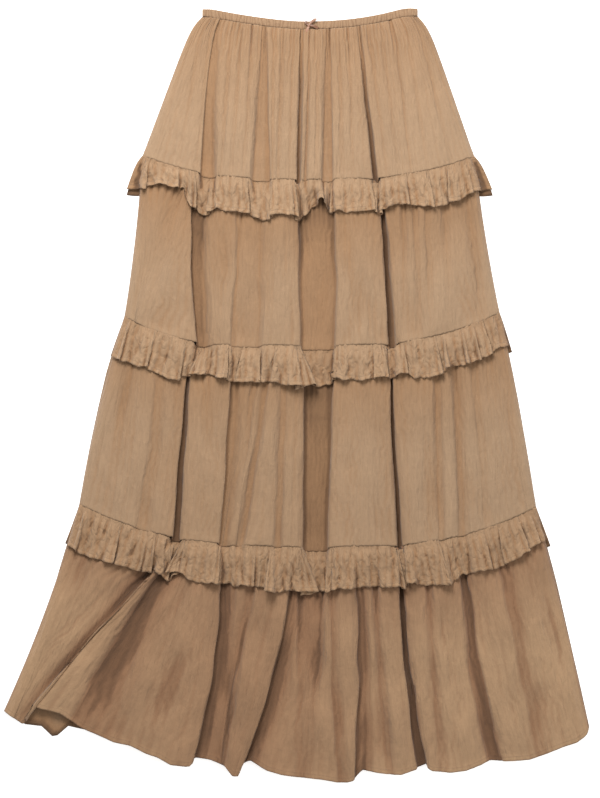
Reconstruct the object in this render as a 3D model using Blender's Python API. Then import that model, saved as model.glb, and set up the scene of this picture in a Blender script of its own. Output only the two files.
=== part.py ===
"""Tiered ruffle skirt, laid flat on its back.

Four gathered tiers hang one below the other from an elastic waistband. A narrow gathered ruffle is
sewn into each of the three seams between them, on the outside. The skirt is a tube: each tier and
each ruffle has a front and a back, and the front lies on the back with its folds standing up.

Frame: the floor is z = 0, +Z points up from it, +Y runs from the hem to the waist and +X is to the
right of someone who looks down on the front. Tables and sizes below are in millimetres, and
`add_solid` turns them into metres.
"""

import functools
import math
from collections import namedtuple

import bmesh
import bpy
import numpy as np

MM = 0.001

# --- cloth -----------------------------------------------------------------------------------
WALL = 1.2  # thickness of one layer of cloth
GAP = 0.3  # air between two pieces that are sewn or lie together
LAYER = WALL + GAP  # height that one layer takes in the pile
BACK_RIDGE = 1.5  # how far a back panel's own folds lift it off the floor
STEEPEST = 2.6  # most that a slope may thicken the wall, measured straight up

# --- the pile --------------------------------------------------------------------------------
RUFFLE_ZONE = 0.30  # share of a tier's length that the ruffle above it covers
BED_DROP = 0.07  # share of it in which a back then comes down to the floor
SEAM_RISE = 0.1  # share of it in which a front climbs on to the ruffle below it
CROWN_POWER = 0.6  # below 1, a front's folds reach their full height early
SIDE_FLARE = 0.15  # share of the first tier's length in which its sides flare from the band
SIDE_FADE = 60.0  # width over which the sides' swell dies out towards the middle
SIDE_ROLL = 13.0  # width over which a front rounds down to the side fold
SIDE_SETTLE = 0.5  # share of its height that a front loses towards the sides
SEAM_BLEND = 0.22  # share of a tier's length in which it leaves the seam's own shape
TIP_ROLL = 5.0  # how far past the tier's side a ruffle comes down on to its back
TIP_POWER = 22  # the higher it is, the closer to its tips a ruffle starts to stand out
SPREAD_POWER = 0.6  # the tips stand out to their sides right below the seam
RUFFLE_LOFT = 0.8  # air under a ruffle's free edge, in its grooves
BANK_CLEARANCE = 0.5  # more of it where the free edge crosses a steep bank
CELL_TWIST = 0.5  # share of a twisted cell's twist that a ruffle clears, as two panels may
MOST_TWIST = 14.0  # split such a cell along different diagonals, and the most it counts
LIFT_POWER = 1.3  # above 1, a ruffle stays low near its seam and stands up at its free edge
TIP_DROP_POWER = 0.7  # below 1, a ruffle's tip comes down soon after the seam

# --- waistband and bow -----------------------------------------------------------------------
BAND_HEIGHT = 10.5
BAND_END_DROP = 3.0  # how much lower the band is at its two ends
BAND_END_WIDE = 9.0
BAND_THICK = 2.2
BAND_RIBS = 34
BAND_RIB_DEPTH = 0.6
BAND_AIR = 0.9  # between the band's front and its back
BAND_BACK_PLACES = 14
BAND_END_STEPS = 4
RIBBON_WIDTH = 3.2
RIBBON_THICK = 1.0
RIBBON_STEPS = 6
BOW_CENTRE = (16.0, 473.0)
BOW_CLEARANCE = 1.6  # from the band's face to the ribbon
KNOT_SIZE = (4.6, 3.8, 3.0)
KNOT_RISE = 1.0
# reach_x, reach_y: where the arm ends, from the knot. arch: how high its middle stands.
# climb: how much higher it ends than it starts.
BowArm = namedtuple("BowArm", "name reach_x reach_y arch climb")
BOW_ARMS = (
    BowArm("loop_left", -5.5, 5.0, 1.0, 0.5),
    BowArm("loop_right", 9.5, 8.0, 1.4, 0.5),
    BowArm("tail_left", -5.0, -8.5, 0.6, 2.8),
    BowArm("tail_right", 12.0, -3.5, 0.6, 2.8),
)
BOW_ARM_BEND = 0.09  # how far an arm leaves its straight line, as a share of its reach

# --- mesh density ----------------------------------------------------------------------------
CLOSEST_COLUMNS = 1.5
WIDEST_COLUMNS = 19.0
BACK_COLUMNS = 25
NARROW_FLOOR = 2.5  # a furrow with a floor no wider than this has one column along it
ROLL_STEPS = (0.0, 1.2, 4.5, SIDE_ROLL)
TIER_ROWS = (0.0, 0.11, 0.26, 0.45, 0.7, 0.93, 1.0)
BACK_ROWS = (0.0, RUFFLE_ZONE, RUFFLE_ZONE + BED_DROP, 0.68, 1.0)

# --- seams -----------------------------------------------------------------------------------
# Each seam smiles: it is lowest near middle_x and climbs to its two ends.
# left, right: where it ends. low: its height on the page at middle_x. climb: how far each end is
# above that. bend: power of each half's curve. lift: how far a fold's own height carries it up.
Seam = namedtuple(
    "Seam",
    "left right middle_x low climb_left climb_right bend_left bend_right lift",
)
SEAMS = (
    Seam(-121.0, 155.5, 8.0, 468.5, 15.5, 20.0, 1.2, 1.6, 0.0),
    Seam(-198.0, 228.5, 17.0, 268.0, 37.0, 36.5, 3.0, 3.0, 0.62),
    Seam(-221.0, 261.0, 20.0, 54.5, 44.5, 49.0, 4.0, 3.0, 0.62),
    Seam(-279.0, 307.5, 30.0, -202.0, 60.0, 56.5, 3.0, 3.0, 0.56),
    Seam(-375.7, 375.7, 36.0, -466.0, 62.0, 41.0, 1.9, 4.0, 0.0),
)
# The last of these is the back's hem. The front's hangs lower on its standing folds and steps up
# at their crisp edges. A fold lies over its left corner and carries the hem up there, so that the
# corner of the back shows below it.
HemPoint = namedtuple("HemPoint", "x y")
FRONT_HEM = (
    HemPoint(-375.7, -406.0),
    HemPoint(-352.0, -422.0),
    HemPoint(-347.5, -422.0),
    HemPoint(-343.5, -399.0),
    HemPoint(-305.0, -408.0),
    HemPoint(-291.0, -417.0),
    HemPoint(-275.0, -428.0),
    HemPoint(-254.0, -437.0),
    HemPoint(-234.0, -446.0),
    HemPoint(-213.0, -450.0),
    HemPoint(-193.0, -460.0),
    HemPoint(-177.0, -465.0),
    HemPoint(-162.0, -474.0),
    HemPoint(-141.0, -477.0),
    HemPoint(-131.0, -465.0),
    HemPoint(-111.0, -468.0),
    HemPoint(-90.0, -477.0),
    HemPoint(-83.0, -489.0),
    HemPoint(-77.0, -489.0),
    HemPoint(-70.0, -474.0),
    HemPoint(-59.5, -469.0),
    HemPoint(-39.0, -481.0),
    HemPoint(-18.5, -487.0),
    HemPoint(2.0, -490.0),
    HemPoint(33.0, -493.0),
    HemPoint(53.0, -497.0),
    HemPoint(63.0, -497.0),
    HemPoint(74.0, -493.0),
    HemPoint(84.0, -481.0),
    HemPoint(104.0, -484.5),
    HemPoint(125.0, -487.0),
    HemPoint(135.0, -487.0),
    HemPoint(155.5, -478.0),
    HemPoint(166.0, -474.0),
    HemPoint(176.0, -482.0),
    HemPoint(196.5, -484.5),
    HemPoint(217.0, -482.0),
    HemPoint(237.5, -474.0),
    HemPoint(247.5, -469.0),
    HemPoint(268.0, -470.0),
    HemPoint(299.0, -468.0),
    HemPoint(319.5, -461.0),
    HemPoint(340.0, -452.5),
    HemPoint(360.0, -446.0),
    HemPoint(370.5, -438.5),
    HemPoint(374.0, -434.0),
    HemPoint(375.7, -426.0),
)
# How far the back's own hem hangs below its curve at that corner.
HemDrop = namedtuple("HemDrop", "x drop")
BACK_CORNER = (
    HemDrop(-375.7, 2.0),
    HemDrop(-350.0, 12.0),
    HemDrop(-327.0, 8.5),
    HemDrop(-311.0, 20.0),
    HemDrop(-293.0, 0.0),
)

# --- folds of the fronts ---------------------------------------------------------------------
# Each row is a furrow that runs down one tier, between two standing folds.
# top, low: its x at the tier's top and low edge. bow: how far it leaves that line half way down.
# wide_top, wide_low: its flat floor. deep_top, deep_low: its depth as a share of the pile.
# left, right: width of its two banks.
Furrow = namedtuple("Furrow", "top low bow wide_top wide_low deep_top deep_low left right")
TIER_1_FURROWS = (
    Furrow(-112, -152, 0, 1, 2, 0.50, 0.10, 4, 8),
    Furrow(-104, -131, 0, 1, 2, 0.40, 0.15, 4, 5),
    Furrow(-96, -115, -3, 2, 14, 0.70, 0.80, 4, 8),
    Furrow(-80, -97, 0, 1, 2, 0.50, 0.20, 4, 5),
    Furrow(-68, -84, 0, 1, 2, 0.45, 0.12, 4, 4),
    Furrow(-56, -68, 0, 1, 2, 0.45, 0.12, 4, 4),
    Furrow(-40, -45, 0, 2, 20, 0.60, 0.60, 6, 4),
    Furrow(-28, -29, 0, 1, 2, 0.35, 0.20, 3, 3),
    Furrow(-17, -23, 0, 1, 2, 0.50, 0.20, 4, 4),
    Furrow(-5, -11, 0, 1, 1, 0.35, 0.10, 3, 4),
    Furrow(7, 2, -1, 2, 3, 0.60, 0.80, 3, 3),
    Furrow(17, 11, 0, 1, 3, 0.50, 0.45, 3, 3),
    Furrow(28, 25, 0, 1, 2, 0.35, 0.10, 3, 3),
    Furrow(41, 40, 0, 3, 10, 0.55, 0.60, 5, 3),
    Furrow(55, 59, 0, 1, 2, 0.45, 0.12, 3, 4),
    Furrow(66, 73, 0, 1, 2, 0.40, 0.12, 4, 4),
    Furrow(80, 102, 0, 2, 5, 0.60, 1.00, 4, 4),
    Furrow(93, 118, 0, 1, 2, 0.45, 0.20, 4, 5),
    Furrow(106, 131, 0, 1, 2, 0.40, 0.10, 4, 5),
    Furrow(120, 147, 0, 1, 2, 0.55, 0.20, 4, 6),
    Furrow(133, 168, 0, 1, 2, 0.40, 0.15, 4, 6),
    Furrow(145, 198, 0, 1, 3, 0.55, 0.12, 3, 8),
)
TIER_2_FURROWS = (
    Furrow(-158, -181, 0, 6, 8, 0.30, 0.15, 12, 12),
    Furrow(-128, -125, -3, 12, 7, 0.85, 0.88, 4, 9),
    Furrow(-71, -84, 0, 3, 3, 0.50, 0.50, 5, 6),
    Furrow(-39, -49, 0, 6, 3, 0.50, 0.40, 13, 4),
    Furrow(25, 25, 0, 34, 34, 0.75, 0.75, 4, 4),
    Furrow(105, 117, -1, 4, 6, 1.00, 1.00, 4, 4),
    Furrow(140, 146, 0, 2, 2, 0.30, 0.12, 5, 5),
    Furrow(163, 172, 0, 8, 4, 0.40, 0.10, 8, 8),
    Furrow(188, 203, 0, 2, 2, 0.25, 0.12, 6, 6),
    Furrow(213, 236, 0, 3, 3, 0.40, 0.30, 7, 6),
)
TIER_3_FURROWS = (
    Furrow(-208, -226, 0, 4, 6, 0.30, 0.20, 9, 9),
    Furrow(-176, -194, 0, 4, 8, 0.35, 0.35, 8, 10),
    Furrow(-136, -153, 1, 4, 5, 1.00, 1.00, 4, 4),
    Furrow(-79, -99, 2, 6, 2, 0.70, 0.55, 4, 8),
    Furrow(-44, -72, 0, 2, 2, 0.35, 0.25, 8, 6),
    Furrow(-16, -24, 0, 2, 3, 0.30, 0.35, 7, 7),
    Furrow(28, 23, 0, 36, 31, 0.85, 0.90, 4, 4),
    Furrow(118, 133, -1, 5, 6, 1.00, 1.00, 4, 4),
    Furrow(177, 185, 0, 3, 3, 0.40, 0.30, 6, 8),
    Furrow(200, 211, 0, 3, 4, 0.35, 0.35, 6, 8),
    Furrow(226, 242, 0, 3, 3, 0.30, 0.15, 8, 8),
    Furrow(258, 284, 0, 3, 3, 0.30, 0.10, 8, 8),
)
TIER_4_FURROWS = (
    Furrow(-205, -328, 0, 3, 8, 0.25, 0.20, 14, 14),
    Furrow(-166, -352, 6, 4, 9, 0.85, 0.75, 26, 4),
    Furrow(-149, -272, 4, 9, 12, 1.00, 0.55, 4, 18),
    Furrow(-136, -190, 16, 2, 6, 0.20, 0.35, 8, 12),
    Furrow(-96, -127, 11, 3, 9, 0.75, 0.65, 4, 14),
    Furrow(-49, -86, -2, 4, 4, 0.35, 0.55, 10, 4),
    Furrow(-5, -56, 10, 4, 8, 0.60, 0.60, 4, 12),
    Furrow(21, 12, 0, 32, 12, 0.85, 0.20, 5, 8),
    Furrow(43, 52, -3, 2, 3, 0.35, 0.30, 4, 8),
    Furrow(72, 83, -1, 5, 10, 0.50, 0.60, 4, 12),
    Furrow(98, 122, -4, 3, 3, 0.35, 0.15, 7, 7),
    Furrow(133, 161, -5, 4, 10, 1.00, 0.95, 4, 4),
    Furrow(163, 186, 0, 2, 3, 0.25, 0.20, 7, 8),
    Furrow(213, 257, -8, 5, 8, 0.60, 0.55, 8, 6),
    Furrow(258, 318, -4, 4, 5, 0.35, 0.12, 9, 10),
)
# crown_top, crown_low: height of the pile on its standing folds, at the tier's top and low edge.
# bulge: how far each side swells past a straight line from seam to seam, or falls short of it.
Tier = namedtuple("Tier", "name crown_top crown_low bulge_left bulge_right furrows")
TIERS = (
    Tier("tier1", 9.0, 21.0, 9.5, 8.5, TIER_1_FURROWS),
    Tier("tier2", 22.0, 22.0, -2.5, -2.0, TIER_2_FURROWS),
    Tier("tier3", 23.0, 22.0, 5.0, 2.5, TIER_3_FURROWS),
    Tier("tier4", 23.0, 17.0, -6.0, 2.0, TIER_4_FURROWS),
)

# --- flutes of the ruffles -------------------------------------------------------------------
# Each row is one flute: x of the groove on its left, how far the free edge reaches below the seam
# in that groove and on the flute's crest, and how high the crest stands off the tier.
Flute = namedtuple("Flute", "groove groove_reach crest_reach crest_rise")
RUFFLE_1_FLUTES = (
    Flute(-194, 42, 33, 9),
    Flute(-137, 50, 48, 7),
    Flute(-104, 42, 45, 6),
    Flute(-60, 46, 47, 8),
    Flute(-42, 50, 50, 6),
    Flute(-28, 45, 45, 6),
    Flute(2, 48, 43, 7),
    Flute(20, 36, 24, 13),
    Flute(44, 40, 41, 6),
    Flute(62, 43, 43, 6),
    Flute(91, 40, 39, 5),
    Flute(109, 41, 38, 7),
    Flute(125, 36, 39, 8),
    Flute(150, 42, 46, 6),
    Flute(172, 49, 49, 7),
    Flute(192, 48, 48, 8),
    Flute(212, 44, 42, 7),
)
RUFFLE_2_FLUTES = (
    Flute(-219, 52, 52, 5),
    Flute(-203, 49, 50, 6),
    Flute(-184, 46, 49, 5),
    Flute(-165, 50, 52, 5),
    Flute(-142, 52, 44, 5),
    Flute(-126, 35, 35, 8),
    Flute(-106, 38, 43, 6),
    Flute(-75, 44, 44, 5),
    Flute(-45, 45, 48, 6),
    Flute(-30, 47, 48, 5),
    Flute(-16, 50, 51, 8),
    Flute(7, 50, 44, 6),
    Flute(31, 47, 44, 5),
    Flute(50, 40, 45, 8),
    Flute(72, 45, 46, 5),
    Flute(96, 44, 42, 6),
    Flute(116, 37, 36, 7),
    Flute(138, 40, 49, 6),
    Flute(159, 50, 51, 5),
    Flute(180, 48, 44, 6),
    Flute(199, 44, 46, 5),
    Flute(221, 46, 45, 6),
    Flute(240, 42, 40, 6),
)
RUFFLE_3_FLUTES = (
    Flute(-274, 52, 55, 6),
    Flute(-259, 56, 55, 5),
    Flute(-242, 53, 53, 5),
    Flute(-222, 52, 51, 6),
    Flute(-200, 50, 51, 5),
    Flute(-179, 51, 49, 6),
    Flute(-156, 50, 40, 7),
    Flute(-140, 42, 50, 6),
    Flute(-121, 52, 53, 5),
    Flute(-100, 48, 48, 6),
    Flute(-70, 51, 52, 5),
    Flute(-41, 53, 57, 9),
    Flute(-20, 57, 57, 7),
    Flute(8, 56, 48, 8),
    Flute(28, 50, 50, 5),
    Flute(41, 54, 54, 6),
    Flute(63, 55, 53, 5),
    Flute(98, 52, 54, 5),
    Flute(121, 52, 50, 5),
    Flute(136, 46, 48, 8),
    Flute(150, 53, 55, 6),
    Flute(172, 56, 57, 6),
    Flute(196, 54, 48, 6),
    Flute(212, 47, 49, 6),
    Flute(235, 51, 52, 5),
    Flute(258, 51, 49, 5),
    Flute(284, 44, 42, 5),
)
# spread_left, spread_right: how far the free edge's two tips stand out past the tier's sides.
Ruffle = namedtuple("Ruffle", "name spread_left spread_right flutes")
RUFFLES = (
    Ruffle("ruffle1", 17.0, 18.0, RUFFLE_1_FLUTES),
    Ruffle("ruffle2", 1.5, 4.0, RUFFLE_2_FLUTES),
    Ruffle("ruffle3", 1.0, 2.5, RUFFLE_3_FLUTES),
)
LAST_GROOVE_REACH = 42.0  # of the groove at a ruffle's right tip

# --- backs -----------------------------------------------------------------------------------
BACK_RUFFLE_REACH = 46.0
BACK_RUFFLE_WAVES = 13
BACK_WAVE_DEPTH = 3.0
BACK_RUFFLE_FLARE = 0.22  # share of the tier's own spread that its back ruffle follows
BACK_RIDGES = 5
RIDGE_WANDER = 0.22  # how far ridges leave an even spacing, and how quickly that changes
RIDGE_WANDER_TURNS = 7.0
RIDGE_DRIFT = 0.1  # how far they run off to one side on their way down
RIDGE_SHARPNESS = 3.2  # the higher it is, the more of the back lies flat between them
RIDGE_SIDE_FADE = 8.0  # the higher it is, the closer to the sides they reach

# --- colours, linear -------------------------------------------------------------------------
CLOTH_COLOUR = (0.46, 0.30, 0.185, 1.0)
RIBBON_COLOUR = (0.52, 0.31, 0.21, 1.0)


def mix(first, second, share):
    return first + (second - first) * share


def ramp(share):
    """Rises smoothly from 0 to 1 as share goes from 0 to 1."""
    share = np.clip(share, 0.0, 1.0)
    return share * share * (3.0 - 2.0 * share)


def arch(share):
    """0 at both ends and 1 half way."""
    return 4.0 * share * (1.0 - share)


# --- outlines on the page --------------------------------------------------------------------


def smile(seam, x):
    """y of a seam at x, before folds lift it."""
    to_left = (seam.middle_x - x) / (seam.middle_x - seam.left)
    to_right = (x - seam.middle_x) / (seam.right - seam.middle_x)
    left = seam.climb_left * np.clip(to_left, 0.0, 1.1) ** seam.bend_left
    right = seam.climb_right * np.clip(to_right, 0.0, 1.1) ** seam.bend_right
    return seam.low + left + right


def sideways(number, top, down):
    """How far a line that starts at x = top on a tier's top edge is carried by its swelling sides."""
    seam, tier = SEAMS[number], TIERS[number]
    swell = arch(down) if number else ramp(down / SIDE_FLARE) * (1.0 - down)
    near_left = np.clip(1.0 - (top - seam.left) / SIDE_FADE, 0.0, 1.0)
    near_right = np.clip(1.0 - (seam.right - top) / SIDE_FADE, 0.0, 1.0)
    return (near_right * tier.bulge_right - near_left * tier.bulge_left) * swell


def side_x(number, down):
    """x of a tier's left and right side, at a share `down` of its length."""
    above, below = SEAMS[number], SEAMS[number + 1]
    left = mix(above.left, below.left, down) + sideways(number, above.left, down)
    right = mix(above.right, below.right, down) + sideways(number, above.right, down)
    return left, right


# --- heights of the pile ---------------------------------------------------------------------


def back_bed(number, down):
    """Height of a back panel's underside: it lies on its ruffle first, then on the floor."""
    if number == 0:
        return 0.0 * down
    return LAYER * (1.0 - ramp((down - RUFFLE_ZONE) / BED_DROP))


def front_floor(number, down):
    """Lowest height of a front's upper face: what a furrow and the side fold go down to."""
    pile = back_bed(number, down) + WALL + BACK_RIDGE + GAP + WALL
    last = number == len(TIERS) - 1
    meets_ruffle = 0.0 if last else 2.0 * LAYER * ramp((down - 1.0 + SEAM_RISE) / SEAM_RISE)
    return pile + meets_ruffle


def furrow_share(number, x, down):
    """What is left of the pile's height at x once each furrow has taken its share."""
    kept = np.ones_like(x)
    for furrow in TIERS[number].furrows:
        centre = mix(furrow.top, furrow.low, down) + furrow.bow * arch(down)
        centre = centre + sideways(number, furrow.top, down)
        half = 0.5 * mix(furrow.wide_top, furrow.wide_low, down)
        deep = mix(furrow.deep_top, furrow.deep_low, down)
        left_bank = ramp((x - centre + half + furrow.left) / furrow.left)
        right_bank = ramp((centre + half + furrow.right - x) / furrow.right)
        kept = kept * (1.0 - deep * left_bank * right_bank)
    return kept


def own_height(number, x, down):
    """A front's upper face from its own furrows, before its top edge is fitted to the seam."""
    tier = TIERS[number]
    left, right = side_x(number, down)
    across = (2.0 * x - left - right) / (right - left)
    settled = 1.0 - SIDE_SETTLE * np.clip(np.abs(across), 0.0, 1.0) ** 3
    floor = front_floor(number, down)
    crown = mix(tier.crown_top, tier.crown_low, down**CROWN_POWER) * settled
    inside = np.clip(np.minimum(x - left, right - x) / SIDE_ROLL, 0.0, 1.0)
    rounded = np.sqrt(1.0 - (1.0 - inside) ** 2)
    return floor + (np.maximum(crown, floor) - floor) * rounded * furrow_share(number, x, down)


def steepness(height, number, x, down):
    """How much longer the way straight up through a tilted wall is than the wall is thick."""
    step = 0.4
    rise = height(number, x + step, down) - height(number, x - step, down)
    return np.minimum(np.sqrt(1.0 + (rise / (2.0 * step)) ** 2), STEEPEST)


def front_height(number, x, down):
    """A front's upper face. Its top edge takes the shape of the tier above it at their seam."""
    own = own_height(number, x, down)
    if number == 0:
        return own
    low_edge = np.ones_like(x)
    seam_shape = own_height(number - 1, x, low_edge)
    seam_shape = seam_shape - LAYER * steepness(own_height, number - 1, x, low_edge)
    under = np.maximum(seam_shape, front_floor(number, down))
    return mix(under, own, ramp(down / SEAM_BLEND))


@functools.lru_cache
def seam_chain(number):
    """x and y of the seam above tier `number`, at each column of the tier that ends there.

    One past the last tier it is the front's hem.
    """
    x = tier_columns(number - 1)[1]
    if number == len(TIERS):
        return x, np.interp(x, [point.x for point in FRONT_HEM], [point.y for point in FRONT_HEM])
    height = own_height(number - 1, x, np.ones_like(x)) - front_floor(number - 1, 1.0)
    return x, smile(SEAMS[number], x) + SEAMS[number].lift * height


def seam_y(number, x):
    """y of the seam above tier `number`, carried up or down by the folds that it crosses."""
    if number == 0:
        return smile(SEAMS[0], x)
    return np.interp(x, *seam_chain(number))


def below_seam(number, x):
    """y of an edge with its points at x that hangs just below the seam's own edge all along."""
    y = seam_y(number, x) - GAP
    chain_x, chain_y = seam_chain(number)
    over = np.interp(chain_x, x, y) - (chain_y - GAP)
    cell = np.clip(np.searchsorted(x, chain_x) - 1, 0, len(x) - 2)
    for which, excess in zip(cell, over):
        if excess > 0.0:
            y[which : which + 2] -= excess
    return y


def page_y(number, x, down):
    """y of a point of tier `number`, x across and a share `down` of the way between its seams."""
    return mix(seam_y(number, x), seam_y(number + 1, x), down)


# --- columns of points -----------------------------------------------------------------------


def spaced(values, first, last):
    """The values in order, kept inside first and last and at least CLOSEST_COLUMNS apart."""
    values = np.array(values, dtype=float)
    for i in range(1, len(values)):
        values[i] = max(values[i], values[i - 1] + CLOSEST_COLUMNS)
    values[-1] = last
    for i in range(len(values) - 2, -1, -1):
        values[i] = min(values[i], values[i + 1] - CLOSEST_COLUMNS)
    values[0] = first
    return values


def filled(tops, lows):
    """Adds columns where two neighbours are further apart than WIDEST_COLUMNS."""
    top_out, low_out = [tops[0]], [lows[0]]
    for i in range(1, len(tops)):
        widest = max(tops[i] - tops[i - 1], lows[i] - lows[i - 1])
        pieces = max(1, math.ceil(widest / WIDEST_COLUMNS))
        for k in range(1, pieces + 1):
            top_out.append(mix(tops[i - 1], tops[i], k / pieces))
            low_out.append(mix(lows[i - 1], lows[i], k / pieces))
    return np.array(top_out), np.array(low_out)


@functools.lru_cache
def tier_columns(number):
    """The columns of a tier: x at its top and low edge, and how far each bows half way down.

    They run along the banks of its furrows and round its sides, with more where those are far apart.
    """
    tier = TIERS[number]
    left_top, right_top = side_x(number, 0.0)
    left_low, right_low = side_x(number, 1.0)
    pairs = [(left_top + step, left_low + step) for step in ROLL_STEPS]
    pairs += [(right_top - step, right_low - step) for step in ROLL_STEPS]
    for furrow in tier.furrows:
        narrow = max(furrow.wide_top, furrow.wide_low) <= NARROW_FLOOR
        for side, bank in ((-1.0, furrow.left), (1.0, furrow.right)):
            for out in (bank,) if narrow else (0.0, bank):
                top = furrow.top + side * (0.5 * furrow.wide_top + out)
                low = furrow.low + side * (0.5 * furrow.wide_low + out)
                pairs.append((top, low))
        if narrow:
            pairs.append((furrow.top, furrow.low))
    pairs.sort(key=sum)
    tops = spaced([pair[0] for pair in pairs], left_top, right_top)
    lows = spaced([pair[1] for pair in pairs], left_low, right_low)
    tops, lows = filled(tops, lows)
    places = [left_top] + [furrow.top for furrow in tier.furrows] + [right_top]
    bows = [0.0] + [furrow.bow for furrow in tier.furrows] + [0.0]
    return tops, lows, np.interp(tops, places, bows)


def along_columns(number, tops, lows, bows, down):
    """x of each column at a share `down` of the tier's length."""
    return mix(tops, lows, down) + bows * arch(down) + sideways(number, tops, down)


# --- meshes ----------------------------------------------------------------------------------


def material(name, colour):
    made = bpy.data.materials.new(name)
    made.use_nodes = True
    shader = made.node_tree.nodes["Principled BSDF"]
    shader.inputs["Base Color"].default_value = colour
    shader.inputs["Roughness"].default_value = 0.9
    shader.inputs["Metallic"].default_value = 0.0
    return made


def add_solid(name, points, faces, cloth):
    """A named object from points in millimetres, smooth but for its rims."""
    mesh = bpy.data.meshes.new(name)
    mesh.from_pydata([tuple(MM * value for value in point) for point in points], [], faces)
    mesh.materials.append(cloth)
    mesh.shade_smooth()
    mesh.set_sharp_from_angle(angle=math.radians(50.0))
    made = bpy.data.objects.new(name, mesh)
    bpy.context.scene.collection.objects.link(made)
    return made


def wall_between(name, upper, lower, cloth):
    """A closed wall from two grids of points, rows by columns, the lower one under the upper."""
    rows, columns = upper.shape[:2]
    points = np.concatenate([upper.reshape(-1, 3), lower.reshape(-1, 3)])
    under = rows * columns
    faces = []
    for i in range(rows - 1):
        for j in range(columns - 1):
            a = i * columns + j
            b = a + columns
            faces.append((a, b, b + 1))
            faces.append((a, b + 1, a + 1))
            faces.append((under + a, under + b + 1, under + b))
            faces.append((under + a, under + a + 1, under + b + 1))
    around = [j for j in range(columns)]
    around += [i * columns + columns - 1 for i in range(1, rows)]
    around += [(rows - 1) * columns + j for j in range(columns - 2, -1, -1)]
    around += [i * columns for i in range(rows - 2, 0, -1)]
    for a, b in zip(around, around[1:] + around[:1]):
        faces.append((a, b, under + b))
        faces.append((a, under + b, under + a))
    return add_solid(name, points, faces, cloth)


def grid(x, y, z):
    return np.stack([x, y, z], axis=-1)


def add_tier_front(number, cloth):
    tops, lows, bows = tier_columns(number)
    down = np.array(TIER_ROWS)[:, None] * np.ones_like(tops)
    x = along_columns(number, tops, lows, bows, down)
    y = page_y(number, x, down)
    y[0] = below_seam(number, x[0]) if number else y[0] - GAP
    top = front_height(number, x, down)
    low = top - WALL * steepness(front_height, number, x, down)
    low = np.maximum(low, front_floor(number, down) - WALL)
    wall_between(TIERS[number].name + "_front", grid(x, y, top), grid(x, y, low), cloth)


def back_y(number, x, down):
    """y on a back panel: the same seams with no folds to lift them."""
    edge = smile(SEAMS[number + 1], x)
    if number == len(TIERS) - 1:
        drops = [point.drop for point in BACK_CORNER]
        edge = edge - np.interp(x, [point.x for point in BACK_CORNER], drops)
    return mix(smile(SEAMS[number], x), edge, down)


def back_ridges(x, down, left, right):
    """Low folds of a back panel, spaced unevenly, none of them at its sides."""
    across = (x - left) / (right - left)
    wander = RIDGE_WANDER * np.sin(RIDGE_WANDER_TURNS * across)
    turn = BACK_RIDGES * across + wander + RIDGE_DRIFT * down
    ridge = ramp(1.0 - RIDGE_SHARPNESS * np.abs(turn - np.floor(turn) - 0.5))
    fade = ramp(RIDGE_SIDE_FADE * across) * ramp(RIDGE_SIDE_FADE * (1.0 - across))
    return BACK_RIDGE * ridge * fade


def add_tier_back(number, cloth):
    rows = np.array(BACK_ROWS)[:, None]
    left, right = side_x(number, rows)
    across = np.linspace(0.0, 1.0, BACK_COLUMNS)
    if number == len(TIERS) - 1:
        hem_left, hem_right = side_x(number, 1.0)
        corner = np.array([point.x for point in BACK_CORNER])
        across = np.union1d(across, (corner - hem_left) / (hem_right - hem_left))
    down = rows * np.ones_like(across)
    x = mix(left, right, across)
    y = back_y(number, x, down)
    y[0] -= 0.5 * GAP
    y[-1] += 0.5 * GAP
    low = back_bed(number, down) + back_ridges(x, down, left, right)
    wall_between(TIERS[number].name + "_back", grid(x, y, low + WALL), grid(x, y, low), cloth)


def spread(ruffle, number, seam_x, out):
    """How far a point of a ruffle stands out to its side: most at its two tips."""
    seam = SEAMS[number]
    across = (2.0 * seam_x - seam.left - seam.right) / (seam.right - seam.left)
    tip = np.where(across < 0.0, -ruffle.spread_left, ruffle.spread_right)
    return tip * np.abs(across) ** TIP_POWER * out**SPREAD_POWER


def flute_shape(ruffle, x):
    """The free edge at x: its reach below the seam, and how high it stands off the tier."""
    end = SEAMS[RUFFLES.index(ruffle) + 1].right
    grooves = np.array([flute.groove for flute in ruffle.flutes] + [end])
    reaches = np.array([flute.groove_reach for flute in ruffle.flutes] + [LAST_GROOVE_REACH])
    crests = np.array([flute.crest_reach for flute in ruffle.flutes])
    rises = np.array([flute.crest_rise for flute in ruffle.flutes])
    which = np.clip(np.searchsorted(grooves, x, side="right") - 1, 0, len(crests) - 1)
    share = np.clip((x - grooves[which]) / (grooves[which + 1] - grooves[which]), 0.0, 1.0)
    swell = np.sin(math.pi * share) ** 2
    reach = mix(mix(reaches[which], reaches[which + 1], ramp(share)), crests[which], swell)
    return reach, rises[which] * swell


def ruffle_columns(number, ruffle):
    """x at the seam of each column of a ruffle: those of the tier under it and its own flutes'."""
    places = list(tier_columns(number)[0])
    ends = [flute.groove for flute in ruffle.flutes[1:]] + [SEAMS[number].right]
    for flute, end in zip(ruffle.flutes, ends):
        for place in (flute.groove, 0.5 * (flute.groove + end)):
            if min(abs(place - other) for other in places) > CLOSEST_COLUMNS:
                places.append(place)
    return np.array(sorted(places))


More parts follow.
